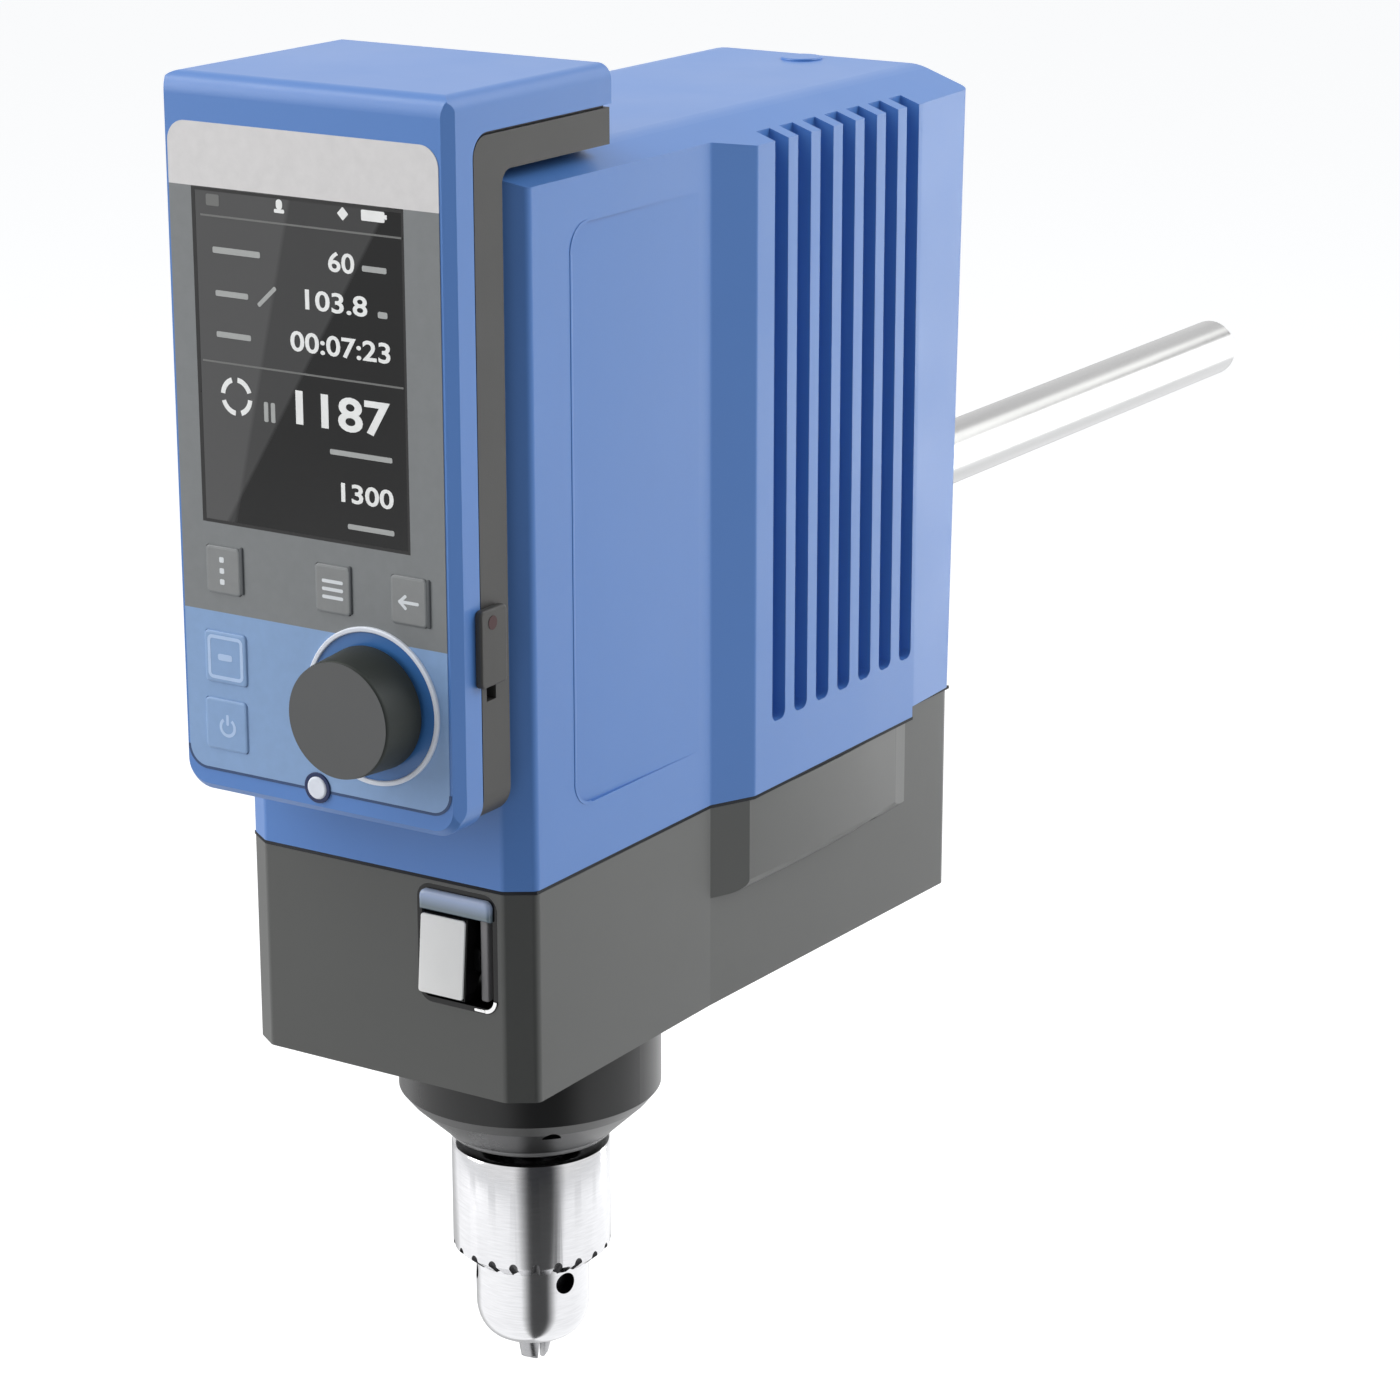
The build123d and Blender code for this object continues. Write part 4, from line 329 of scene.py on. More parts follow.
AROUND_Z = (1.0, 1.0, 14.0)
ALONG_Y = (1.0, 0.05, 1.0)
finishes = {
    "housing_blue": lacquer("housing_blue_lacquer", "5180c4"),
    "base_grey": lacquer("base_grey_lacquer", "484947", 0.04, 0.34, 0.44, 0.5),
    "dark_plastic": moulded("dark_grained_plastic", "434240"),
    "black_plastic": moulded("black_plastic", "161616"),
    "panel_grey": printed("panel_grey_film", "7c7f80", 0.42),
    "panel_blue": printed("panel_blue_film", "87a6cf", 0.40),
    "key_film": printed("key_film", "858787", 0.42),
    "strip_white": printed("white_film", "dbd9d8", 0.40),
    "key_grey": moulded("key_grey_rubber", "9a9c9d", 0.45, 0.55),
    "knob_dark": moulded("knob_dark_plastic", "313532", 0.5, 0.6),
    "rocker_grey": moulded("rocker_grey_plastic", "c4c6c6", 0.30, 0.40, 2400.0, 0.10),
    "display_panel_black": printed("display_black", "2b2b2b", 0.3),
    "ring_white": printed("ring_white_film", "e6ebf5", 0.35),
    "gasket_black": moulded("gasket_rubber", "0e0e0e", 0.6, 0.7),
    "flange_black": lacquer("flange_black_lacquer", "262626", 0.05, 0.24, 0.32, 0.35),
    "chrome_steel": polished("turned_chrome", "d6d6d8", 0.10, 0.20, AROUND_Z),
    "tool_steel": polished("tool_steel", "a2a2a4", 0.22, 0.34, AROUND_Z),
    "rod_steel": polished("ground_rod_steel", "b2b2b2", 0.20, 0.30, ALONG_Y),
    "bearing_steel": polished("bearing_steel", "9f9fa2", 0.20, 0.30, AROUND_Z),
    "screw_steel": polished("plated_screw_steel", "77777a", 0.28, 0.38, (1, 1, 1)),
    "cast_alloy": polished("cast_alloy", "b0b1b4", 0.45, 0.60, (1, 1, 1)),
    "motor_steel": lacquer("motor_enamel", "3a3b3d"),
    "copper_windings": polished("enamelled_copper", "b0673a", 0.30, 0.45, (1, 1, 20.0)),
    "bush_bronze": polished("turned_bronze", "b08a52", 0.25, 0.40, AROUND_Z),
    "fan_plastic": moulded("fan_plastic", "1c1c1e"),
    "circuit_green": printed("circuit_board_green", "1f5a34", 0.35),
    "battery_wrap": printed("battery_wrap", "232a3a", 0.3),
    # finishes of the trim, which the record has no slot for
    "figures": printed("lit_figures", "f2f3f1", 0.45),
    "figures_dim": printed("dim_marks", "a9aba9", 0.45),
    "figures_faint": printed("faint_marks", "6c6d6b", 0.45),
    "border_black": printed("display_border_black", "121212", 0.3),
    "panel_mark": printed("pale_panel_ink", "dfe3e6", 0.5),
    # Darker grey of the ridges beside the soft keys: raised ridges, with painted shade of each key's right
    # side.
    "ridge_shade_grey": moulded("ridge_painted_shade_rubber", "55585a", 0.5, 0.6),
    "outline_blue": printed("pale_blue_ink", "b3cbec", 0.45),
    # Deeper blue of the flat ring round the knob: painted shade of the recessed dish.
    "dish_shade_blue": lacquer("dish_painted_shade_lacquer", "3f74b4", 0.03, 0.25, 0.35),
    "lamp_ring": moulded("lamp_ring_navy", "1d2b55", 0.35, 0.45),
    # Lighter grey disc on the knob's face, a lit copy of the darker knob plastic: painted light.
    "knob_painted_light_cap": moulded("knob_face_painted_light_plastic", "5a5b5b", 0.5, 0.6),
    # Dark navy along the foot of the blue panel: painted shade of its lower bevel.
    "bevel_shade_navy": printed("panel_foot_painted_shade", "2b4670", 0.45),
    "rocker_face": moulded("rocker_pale_face", "ebebe9", 0.22, 0.30, 2400.0, 0.06),
    "gloss_black": moulded("gloss_black_plastic", "0d0d0e", 0.12, 0.18, 2400.0, 0.04),
    "switch_rib": moulded("switch_rib_grey", "8b898a", 0.2, 0.3, 2400.0, 0.04),
    # Bright chrome of the hook at the switch pocket's corner: a painted glint.
    "switch_glint_trim": polished("switch_glint_chrome", "dcdcdc", 0.08, 0.14, (1, 1, 1)),
    "latch_mark": moulded("latch_mark_red", "3a1416", 0.45, 0.55),
    # Dark steel on the faces cut for the key holes and the sleeve's teeth: painted shade in these hollows.
    "bore_shade_dark": polished("bore_painted_shade_steel", "3a3a3c", 0.35, 0.45, (1, 1, 1)),
    # Light grey of the flange's lip: painted highlight.
    "lip_highlight_grey": lacquer("flange_lip_painted_highlight", "6f6f6f", 0.04, 0.2, 0.3),
    "seam_navy": moulded("seam_rubber", "10141c", 0.6, 0.7),
}


# Height where the switch cap's painted sheen starts, and the height over which it pales.
CAP_SHEEN_FOOT = 0.1325          # metres, as the materials read the object's own place
CAP_SHEEN_RISE = 1.0 / 240.0


def clear_plastic_painted_sheen():
    """Clear bluish cap of the switch, darker at its foot and paler towards its top: a painted sheen."""
    made = Finish("clear_blue_plastic_painted_sheen").set(IOR=1.49, Transmission_Weight=0.15)
    split = made.tree.nodes.new("ShaderNodeSeparateXYZ")
    made.link(made.place, split.inputs[0])
    above = math_node(made.tree, "SUBTRACT", split.outputs["Z"], CAP_SHEEN_FOOT)
    rise = math_node(made.tree, "MULTIPLY", above, 1.0 / CAP_SHEEN_RISE, True)
    colour = made.ramp(rise, ((0.0, shade("7d8d97")), (0.55, shade("adc0e2")), (1.0, shade("d8e4fa"))))
    made.link(colour, made.shader.inputs["Base Color"])
    made.gloss(0.04, 0.08, 40.0)
    return made.material


def display_glass_painted_reflection():
    """Dark display glass: deep black at the lower right, with two lighter bands towards the upper left that
    are a painted reflection.
    """
    made = Finish("display_glass_with_painted_reflection").set(IOR=1.5, Specular_IOR_Level=0.35)
    split = made.tree.nodes.new("ShaderNodeSeparateXYZ")
    made.link(made.place, split.inputs[0])
    tone = made.noise(60.0, 2.0)
    tone = made.span(tone, 0.0, 0.004)
    # Each band is a painted reflection: the glass is made lighter on the upper-left side of a slanted edge.
    for at, lean, reflection_step in (((-5.2, 278.0), 0.239, 0.036), ((17.1, 280.2), 0.616, 0.047)):
        level = math_node(made.tree, "MULTIPLY", split.outputs["Z"], lean)
        across = math_node(made.tree, "SUBTRACT", split.outputs["X"], level)
        beyond = math_node(made.tree, "SUBTRACT", (at[0] - lean * at[1]) * MM + 0.0006, across)
        inside = math_node(made.tree, "MULTIPLY", beyond, 900.0, True)
        tone = math_node(made.tree, "ADD", tone, math_node(made.tree, "MULTIPLY", inside, reflection_step))
    join = made.tree.nodes.new("ShaderNodeCombineColor")
    for socket in join.inputs:
        made.link(tone, socket)
    made.link(join.outputs[0], made.shader.inputs["Base Color"])
    made.gloss(0.10, 0.16, 25.0)
    return made.material


finishes["clear_cap"] = clear_plastic_painted_sheen()
finishes["display_glass"] = display_glass_painted_reflection()

for part in frame["record"]["subparts"]:
    mesh = nodes[part["node"]].data
    mesh.materials.clear()
    mesh.materials.append(finishes[part["material_slot"]])
# Some nodes of a slot are finished in another way than the rest of it.
for node, finish in (("lower_panel", "panel_blue"), ("roof_plug", "housing_blue"), ("soft_key_1", "key_film"),
                     ("soft_key_2", "key_film"), ("soft_key_3", "key_film"), ("start_key", "panel_blue"),
                     ("standby_key", "panel_blue"), ("power_rocker", "gloss_black"),
                     ("switch_bezel", "gloss_black")):
    nodes[node].data.materials[0] = finishes[finish]


# ---------------------------------------------------------------- mesh helpers, in millimetres
def new_piece(name, bm, finish, body, sharp=35.0):
    """Turns a mesh made in millimetres into a piece that rides on a body."""
    bmesh.ops.remove_doubles(bm, verts=bm.verts, dist=0.0005)
    bmesh.ops.recalc_face_normals(bm, faces=bm.faces)
    bmesh.ops.scale(bm, vec=(MM, MM, MM), verts=bm.verts)
    mesh = bpy.data.meshes.new(name)
    bm.to_mesh(mesh)
    bm.free()
    mesh.shade_smooth()
    mesh.set_sharp_from_angle(angle=math.radians(sharp))
    piece = bpy.data.objects.new(name, mesh)
    bpy.context.collection.objects.link(piece)
    mesh.materials.append(finish)
    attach(piece, body)
    return piece


def slab(bm, x, y, z, corner=0.0, edge=0.0):
    """A plate that faces front and back, with rounded corners and a softened front edge."""
    made = bmesh.ops.create_cube(bm, size=1.0)["verts"]
    spans = (x, y, z)
    bmesh.ops.scale(bm, vec=[high - low for low, high in spans], verts=made)
    bmesh.ops.translate(bm, vec=[(low + high) / 2 for low, high in spans], verts=made)
    if corner:
        deep = [e for e in {e for v in made for e in v.link_edges}
                if abs(e.verts[0].co.y - e.verts[1].co.y) > (y[1] - y[0]) / 2]
        rounded = bmesh.ops.bevel(bm, geom=deep, offset=corner, affect="EDGES", segments=5, profile=0.5,
                                  material=-1)
        made = list({v for f in rounded["faces"] for v in f.verts} | {v for v in made if v.is_valid})
    if edge:
        front = [e for e in {e for v in made for e in v.link_edges}
                 if max(v.co.y for v in e.verts) < y[0] + 0.0001]
        bmesh.ops.bevel(bm, geom=front, offset=edge, affect="EDGES", segments=3, profile=0.5, material=-1)


def hoop(bm, outer, inner, y, at, steps=96, edge=0.0, arc=360.0, start=0.0):
    """A flat ring that faces front, or an arc of one, round a point (x, z)."""
    earlier = set(bm.faces)
    made = bmesh.ops.create_grid(bm, x_segments=1, y_segments=1, size=0.5)["verts"]
    bmesh.ops.scale(bm, vec=(outer - inner, y[1] - y[0], 1.0), verts=made)
    bmesh.ops.translate(bm, vec=(at[0] + (outer + inner) / 2, (y[0] + y[1]) / 2, at[1]), verts=made)
    if edge:
        front = [v for v in made if v.co.y < y[0] + 0.0001]
        bmesh.ops.bevel(bm, geom=front, offset=edge, affect="VERTICES", segments=3, profile=0.5, material=-1)
    profile = [f for f in bm.faces if f not in earlier]
    geom = profile + list({e for f in profile for e in f.edges}) + list({v for f in profile for v in f.verts})
    full = arc > 359.0
    if start:
        turned = list({v for f in profile for v in f.verts})
        bmesh.ops.rotate(bm, cent=(at[0], 0.0, at[1]), verts=turned,
                         matrix=Matrix.Rotation(math.radians(-start), 3, "Y"))
    edges = [g for g in geom if isinstance(g, bmesh.types.BMEdge)]
    corners = [g for g in geom if isinstance(g, bmesh.types.BMVert)]
    if full:
        bmesh.ops.delete(bm, geom=profile, context="FACES_ONLY")
        bmesh.ops.spin(bm, geom=edges + corners, cent=(at[0], 0.0, at[1]), axis=(0, -1, 0),
                       angle=math.radians(360.0), steps=steps, use_merge=True)
    else:
        bmesh.ops.spin(bm, geom=geom, cent=(at[0], 0.0, at[1]), axis=(0, -1, 0),
                       angle=math.radians(arc), steps=steps)


def lettering(name, text, fit, y, body, finish, weight=0.0):
    """Plain figures set to fill a rectangle (x low, x high, z low, z high)."""
    curve = bpy.data.curves.new(name, "FONT")
    curve.body = text
    curve.extrude = 0.02
    curve.offset = weight
    curve.resolution_u = 4
    source = bpy.data.objects.new(name, curve)
    bpy.context.collection.objects.link(source)
    bpy.context.view_layer.update()
    mesh = bpy.data.meshes.new_from_object(source.evaluated_get(bpy.context.evaluated_depsgraph_get()))
    bpy.data.objects.remove(source)
    bm = bmesh.new()
    bm.from_mesh(mesh)
    bpy.data.meshes.remove(mesh)
    xs = [v.co.x for v in bm.verts]
    ys = [v.co.y for v in bm.verts]
    bmesh.ops.translate(bm, vec=(-min(xs), -min(ys), 0.0), verts=bm.verts)
    scale_x = (fit[1] - fit[0]) / (max(xs) - min(xs))
    scale_z = (fit[3] - fit[2]) / (max(ys) - min(ys))
    bmesh.ops.scale(bm, vec=(scale_x, scale_z, 1.0), verts=bm.verts)
    bmesh.ops.rotate(bm, cent=(0, 0, 0), matrix=Matrix.Rotation(math.radians(90.0), 3, "X"), verts=bm.verts)
    bmesh.ops.translate(bm, vec=(fit[0], y, fit[2]), verts=bm.verts)
    return new_piece(name, bm, finish, body)


def tilted(bm, before, degrees, at):
    """Turns what was added since a count of vertices round a point (x, z), seen from the front."""
    bm.verts.ensure_lookup_table()
    added = bm.verts[before:]
    bmesh.ops.rotate(bm, cent=(at[0], 0.0, at[1]), verts=added,
                     matrix=Matrix.Rotation(math.radians(degrees), 3, "Y"))


HAIRLINE = 0.002           # parts of one piece stay this far apart, so that their corners never merge


def disc(bm, radius, thick, segments, axis, at):
    """A thin round plate whose axis is turned from Z to face along another one."""
    bmesh.ops.create_circle(bm, cap_ends=True, segments=segments, radius=radius)
    lid = bmesh.ops.extrude_face_region(bm, geom=list(bm.faces))["geom"]
    bmesh.ops.translate(bm, vec=(0, 0, thick), verts=[g for g in lid if isinstance(g, bmesh.types.BMVert)])
    bmesh.ops.rotate(bm, cent=(0, 0, 0), matrix=Matrix.Rotation(math.radians(90.0), 3, axis), verts=bm.verts)
    bmesh.ops.translate(bm, vec=at, verts=bm.verts)


# ---------------------------------------------------------------- display
FACE_Y = -76.35            # front of the panels
GLASS_Y = -76.30           # front of the display glass
SHOWN = (GLASS_Y - 0.035, GLASS_Y + 0.02)      # front and back of what the display shows


def display_figures():
    """Plain figures, each filling a rectangle."""
    for name, text, fit, weight in (
            ("torque_figures", "60", (6.4, 13.0, 272.8, 277.0), 0.018),
            ("temperature_figures", "103.8", (0.3, 16.0, 264.4, 268.6), 0.018),
            ("timer_figures", "00:07:23", (-3.8, 21.5, 255.4, 259.7), 0.018),
            ("speed_figures", "1187", (-2.9, 21.1, 240.1, 247.4), 0.022),
            ("set_speed_figures", "1300", (8.2, 21.5, 225.3, 229.4), 0.020)):
        lettering(name, text, fit, GLASS_Y - 0.012, "control_head", finishes["figures"], weight)


def display_marks():
    """Dashes that stand where words would be, two bars and a sloping stroke."""
    bm = bmesh.new()
    for x, z in (((-23.3, -11.0), (273.7, 275.0)), ((14.9, 21.0), (273.7, 274.9)),
                 ((-22.9, -14.4), (264.8, 266.0)), ((-23.0, -14.0), (256.2, 257.4)),
                 ((5.6, 21.4), (235.0, 236.1)), ((9.7, 21.5), (219.8, 220.9)),
                 ((18.6, 21.0), (264.6, 265.9)), ((-11.2, -10.1), (239.7, 243.9)),
                 ((-9.4, -8.3), (239.7, 243.9))):
        slab(bm, x, SHOWN, z, 0.35)
    count = len(bm.verts)
    slab(bm, (-12.6, -6.4), SHOWN, (265.5, 266.4), 0.3)
    tilted(bm, count, -42.0, (-9.5, 265.9))
    new_piece("display_marks", bm, finishes["figures_dim"], "control_head")


def display_rules():
    """Two faint rules across the display and a faint block in its upper corner."""
    bm = bmesh.new()
    slab(bm, (-26.2, 25.2), SHOWN, (281.15, 281.55), 0.0)
    slab(bm, (-26.9, 24.6), SHOWN, (250.7, 251.1), 0.0)
    slab(bm, (-24.6, -21.2), SHOWN, (283.4, 285.8), 0.4)
    new_piece("display_rules", bm, finishes["figures_faint"], "control_head")


def display_icons():
    """A bell, a diamond and a battery along the top, and a broken ring beside the speed."""
    bm = bmesh.new()
    slab(bm, (-6.5, -4.9), SHOWN, (284.2, 286.3), 0.75)
    slab(bm, (-7.0, -4.4), (SHOWN[0] - 0.004, SHOWN[1]), (283.5, 284.3), 0.3)
    count = len(bm.verts)
    slab(bm, (9.4, 11.4), SHOWN, (283.9, 285.9), 0.2)
    tilted(bm, count, 45.0, (10.4, 284.9))
    slab(bm, (15.0, 20.8), SHOWN, (284.0, 286.2), 0.3)
    slab(bm, (20.8, 21.4), SHOWN, (284.7, 285.6), 0.1)
    for k in range(4):
        hoop(bm, 4.1, 3.0, SHOWN, (-18.3, 244.1), 14, 0.0, 66.0, 90.0 * k + 18.0)
    new_piece("display_icons", bm, finishes["figures"], "control_head")


def display_border():
    """Black edge of the glass, broader on the left."""
    bm = bmesh.new()
    left, right = (-28.4, -27.5), (24.9, 25.5)
    foot, head = (216.4, 217.1), (286.4, 287.0)
    slab(bm, left, SHOWN, (foot[0], head[1]))
    slab(bm, right, SHOWN, (foot[0], head[1]))
    slab(bm, (left[1] + HAIRLINE, right[0] - HAIRLINE), SHOWN, foot)
    slab(bm, (left[1] + HAIRLINE, right[0] - HAIRLINE), SHOWN, head)
    new_piece("display_border", bm, finishes["border_black"], "control_head")


display_figures()
display_marks()
display_rules()
display_icons()
display_border()

# ---------------------------------------------------------------- keys, dial and lamp
SOFT_KEY = (8.6, 9.8)      # width and height
SQUARE_KEY = (10.6, 10.8)
KEYS = (
    ("soft_key_1", (-23.2, 206.3), SOFT_KEY, "panel_grey"),
    ("soft_key_2", (5.6, 206.4), SOFT_KEY, "panel_grey"),
    ("soft_key_3", (25.0, 206.7), SOFT_KEY, "panel_grey"),
    ("start_key", (-23.4, 187.1), SQUARE_KEY, "panel_blue"),
    ("standby_key", (-23.8, 172.2), SQUARE_KEY, "panel_blue"))
KEY_FACE = FACE_Y - 0.4
KEY_CAP_MARGIN = 0.28      # how far a cap stands out past its key
INK = (FACE_Y - 0.43, FACE_Y - 0.36)   # front and back of what is printed on the caps
KNOB_AT = (15.1, 182.7)    # (x, z)
KNOB_FACE_Y = -88.75
LAMP_AT = (0.0, 162.4)
# The panel line is painted shade of the panel's lower bevel.
SHADE_LINE_CORNER = (29.7, 166.5)    # centre of the panel line's right-hand corner, (x, z)


def outline(bm, x, z, y, width, corner):
    """A rectangular line made of four bars and four rounded corners."""
    right, left = x[1] - corner, x[0] + corner
    upper, lower = z[1] - corner, z[0] + corner
    slab(bm, (left + HAIRLINE, right - HAIRLINE), y, (z[0], z[0] + width))
    slab(bm, (left + HAIRLINE, right - HAIRLINE), y, (z[1] - width, z[1]))
    slab(bm, (x[0], x[0] + width), y, (lower + HAIRLINE, upper - HAIRLINE))
    slab(bm, (x[1] - width, x[1]), y, (lower + HAIRLINE, upper - HAIRLINE))
    for at, start in (((right, upper), 0.0), ((left, upper), 90.0),
                      ((left, lower), 180.0), ((right, lower), 270.0)):
        hoop(bm, corner, corner - width, y, at, 8, 0.0, 90.0, start)


def key_ridges():
    """A thin upright ridge beside each soft key, in a darker grey that is painted shade of the key's right
    side.
    """
    bm = bmesh.new()
    for x in (-18.85, 9.5, 29.45):
        slab(bm, (x, x + 0.9), (FACE_Y - 0.35, FACE_Y + 0.1), (201.6, 211.9), 0.4, 0.25)
    new_piece("key_ridges", bm, finishes["ridge_shade_grey"], "control_head")


def key_caps():
    """A soft-edged cap over each key, in the film of the panel round it."""
    for name, at, size, finish in KEYS:
        bm = bmesh.new()
        half_w, half_h = size[0] / 2 + KEY_CAP_MARGIN, size[1] / 2 + KEY_CAP_MARGIN
        slab(bm, (at[0] - half_w, at[0] + half_w), (KEY_FACE + 0.04, FACE_Y + 0.3),
             (at[1] - half_h, at[1] + half_h), 1.05, 0.34)
        new_piece(name + "_cap", bm, finishes[finish], name)


def soft_key_symbols():
    """Three dots, three bars and an arrow to the left."""
    bm = bmesh.new()
    for z in (203.2, 205.6, 208.0):
        slab(bm, (-24.1, -22.9), INK, (z, z + 1.2), 0.3)
    new_piece("up_down_symbol", bm, finishes["panel_mark"], "soft_key_1")
    bm = bmesh.new()
    for z in (204.3, 206.0, 207.7):
        slab(bm, (2.9, 8.3), INK, (z, z + 0.75), 0.3)
    new_piece("menu_symbol", bm, finishes["panel_mark"], "soft_key_2")
    bm = bmesh.new()
    shaft = (206.05, 206.75)
    slab(bm, (23.3, 27.6), INK, shaft, 0.3)
    for sign, lift in ((-1, 0.004), (1, 0.008)):
        count = len(bm.verts)
        slab(bm, (22.4, 25.0), (INK[0] - lift, INK[1] - lift), shaft, 0.3)
        tilted(bm, count, 42.0 * sign, (22.8, 206.4))
    new_piece("back_symbol", bm, finishes["panel_mark"], "soft_key_3")


def square_key_symbols():
    """A framed dash, and an open ring with a stroke."""
    bm = bmesh.new()
    outline(bm, (-28.1, -18.7), (182.3, 191.9), INK, 0.75, 1.3)
    slab(bm, (-25.4, -21.6), INK, (186.5, 187.9), 0.5)
    new_piece("start_symbol", bm, finishes["outline_blue"], "start_key")
    bm = bmesh.new()
    hoop(bm, 2.2, 1.5, INK, (-23.4, 171.8), 30, 0.0, 290.0, -235.0)
    slab(bm, (-23.75, -23.05), INK, (172.2, 174.6), 0.3)
    new_piece("standby_symbol", bm, finishes["outline_blue"], "standby_key")


def dial_and_lamp():
    """Flat ring under the knob in a deeper blue that is painted shade of the dish, a lighter disc on the
    knob's face that is painted light, and a dark ring round the lamp.
    """
    bm = bmesh.new()
    hoop(bm, 15.95, 8.0, (FACE_Y - 0.16, FACE_Y + 0.05), KNOB_AT, 128)
    new_piece("dial_dish", bm, finishes["dish_shade_blue"], "control_head")
    bm = bmesh.new()
    hoop(bm, 3.35, 2.45, (FACE_Y - 0.32, FACE_Y), LAMP_AT, 64, 0.12)
    new_piece("lamp_surround", bm, finishes["lamp_ring"], "control_head")
    bm = bmesh.new()
    # Lighter disc on the knob's face: painted light.
    disc(bm, 12.35, 0.12, 96, "X", (KNOB_AT[0], KNOB_FACE_Y + 0.1, KNOB_AT[1]))
    new_piece("knob_painted_light_cap", bm, finishes["knob_painted_light_cap"], "knob")


def panel_foot_shade():
    """Painted shade of the blue panel's lower bevel: a dark band along its foot, turned up at both ends."""
    bm = bmesh.new()
    slab(bm, (-30.2, 29.8), (FACE_Y - 0.03, FACE_Y + 0.1), (161.55, 162.15))
    for sign, start in ((-1, 180.0), (1, 270.0)):
        at = (SHADE_LINE_CORNER[0] * sign, SHADE_LINE_CORNER[1])
        hoop(bm, 4.95, 4.35, (FACE_Y - 0.025, FACE_Y + 0.1), at, 14, 0.0, 90.0, start)
    new_piece("panel_foot_shade", bm, finishes["bevel_shade_navy"], "control_head")


key_ridges()
key_caps()
soft_key_symbols()
square_key_symbols()
dial_and_lamp()
panel_foot_shade()

# ---------------------------------------------------------------- switch and latch
ROCKER_PIN = (17.2, -52.0, 121.5)
ROCKER_LEAN = 5.0          # degrees at rest
LATCH_DOT = (37.95, -65.6, 201.6)


def rocker_face():
    """Pale face of the rocker, leaning with it."""
    bm = bmesh.new()
    slab(bm, (11.35, 23.05), (-57.32, -56.9), (112.7, 130.3), 0.7, 0.2)
    bmesh.ops.rotate(bm, cent=ROCKER_PIN, verts=bm.verts,
                     matrix=Matrix.Rotation(math.radians(-ROCKER_LEAN), 3, "X"))
    new_piece("rocker_face", bm, finishes["rocker_face"], "power_rocker")


def switch_pocket():
    """Grey rib beside the rocker, and a bright chrome hook at the pocket's lower corner that stands for the
    glint there: a painted glint.
    """
    bm = bmesh.new()
    slab(bm, (25.3, 27.3), (-54.2, -49.5), (112.4, 131.0), 0.5, 0.4)
    new_piece("switch_rib", bm, finishes["switch_rib"], "housing")
    bm = bmesh.new()
    hoop(bm, 3.3, 2.5, (-55.35, -54.8), (26.9, 113.6), 14, 0.0, 80.0, 275.0)
    slab(bm, (24.2, 27.1), (-55.3, -54.8), (110.3, 111.0), 0.3, 0.15)
    new_piece("switch_glint_trim", bm, finishes["switch_glint_trim"], "housing")


def latch_dot():
    """Dark red dot on the slider at the side of the head."""
    bm = bmesh.new()
    disc(bm, 1.5, 0.14, 32, "Y", LATCH_DOT)
    new_piece("latch_dot", bm, finishes["latch_mark"], "release_slider")


rocker_face()
switch_pocket()
latch_dot()

# ---------------------------------------------------------------- chuck
SHARP = 28.0               # degrees, past which an edge of the chuck is crisp
NOSE_R = 13.3
NOSE_TIP_R = 7.6
NOSE_ROUND = (5.7, 8.5)    # the nose's quarter ellipse, across and up
NOSE_ROUND_Z = 15.5
NOSE_LOW_Z = NOSE_ROUND_Z - NOSE_ROUND[1]
NOSE_TOP_Z = 34.0
JAWS = 3
KEY_HOLE_R = 2.6
KEY_HOLE_AT = (13.1, 23.3)     # (r, z)
KEY_HOLE_TURN = -20.0
SLEEVE_R = 18.5
TEETH = 22
SCALLOP_R = 1.05
SCALLOP_LEAN = 49.9        # the scallops follow the sleeve's bevel
SCALLOP_AT = (16.75, 28.75)
SCALLOP_TURN = -69.1


def turned(name, outlines, finish, body, steps=144):
    """Closed (r, z) outlines spun about the spindle axis."""
    bm = bmesh.new()
    for outline_points in outlines:
        corners = [bm.verts.new((radius, 0.0, z)) for radius, z in outline_points]
        for k, corner in enumerate(corners):
            bm.edges.new((corner, corners[(k + 1) % len(corners)]))
    bmesh.ops.spin(bm, geom=bm.verts[:] + bm.edges[:], cent=(0, 0, 0), axis=(0, 0, 1),
                   angle=math.radians(360.0), steps=steps, use_merge=True)
    return new_piece(name, bm, finish, body, SHARP)


def drilled(piece, bm, finish):
    """Takes a cutter in millimetres out of a piece; the cut faces get the cutter's finish."""
    bmesh.ops.recalc_face_normals(bm, faces=bm.faces)
    bmesh.ops.scale(bm, vec=(MM, MM, MM), verts=bm.verts)
    tool = bpy.data.meshes.new("cutter")
    bm.to_mesh(tool)
    bm.free()
    tool.materials.append(finish)
    cutter = bpy.data.objects.new("cutter", tool)
    bpy.context.collection.objects.link(cutter)
    change = piece.modifiers.new("cut", "BOOLEAN")
    change.operation = "DIFFERENCE"
    change.solver = "EXACT"
    change.material_mode = "TRANSFER"
    change.object = cutter
    bpy.context.view_layer.update()
    mesh = bpy.data.meshes.new_from_object(piece.evaluated_get(bpy.context.evaluated_depsgraph_get()))
    piece.modifiers.clear()
    piece.data = mesh
    mesh.name = piece.name
    mesh.shade_smooth()
    mesh.set_sharp_from_angle(angle=math.radians(SHARP))
    bpy.data.objects.remove(cutter)


def rod_cutter(bm, radius, length, lean, place, turn):
    """A round bar leaning from the vertical, set at (r, z) and turned about the spindle axis."""
    made = bmesh.ops.create_cone(bm, cap_ends=True, segments=28, radius1=radius, radius2=radius,
                                 depth=length)["verts"]
    bmesh.ops.rotate(bm, cent=(0, 0, 0), matrix=Matrix.Rotation(math.radians(lean), 3, "Y"), verts=made)
    bmesh.ops.translate(bm, vec=(place[0], 0.0, place[1]), verts=made)
    bmesh.ops.rotate(bm, cent=(0, 0, 0), matrix=Matrix.Rotation(math.radians(turn), 3, "Z"), verts=made)


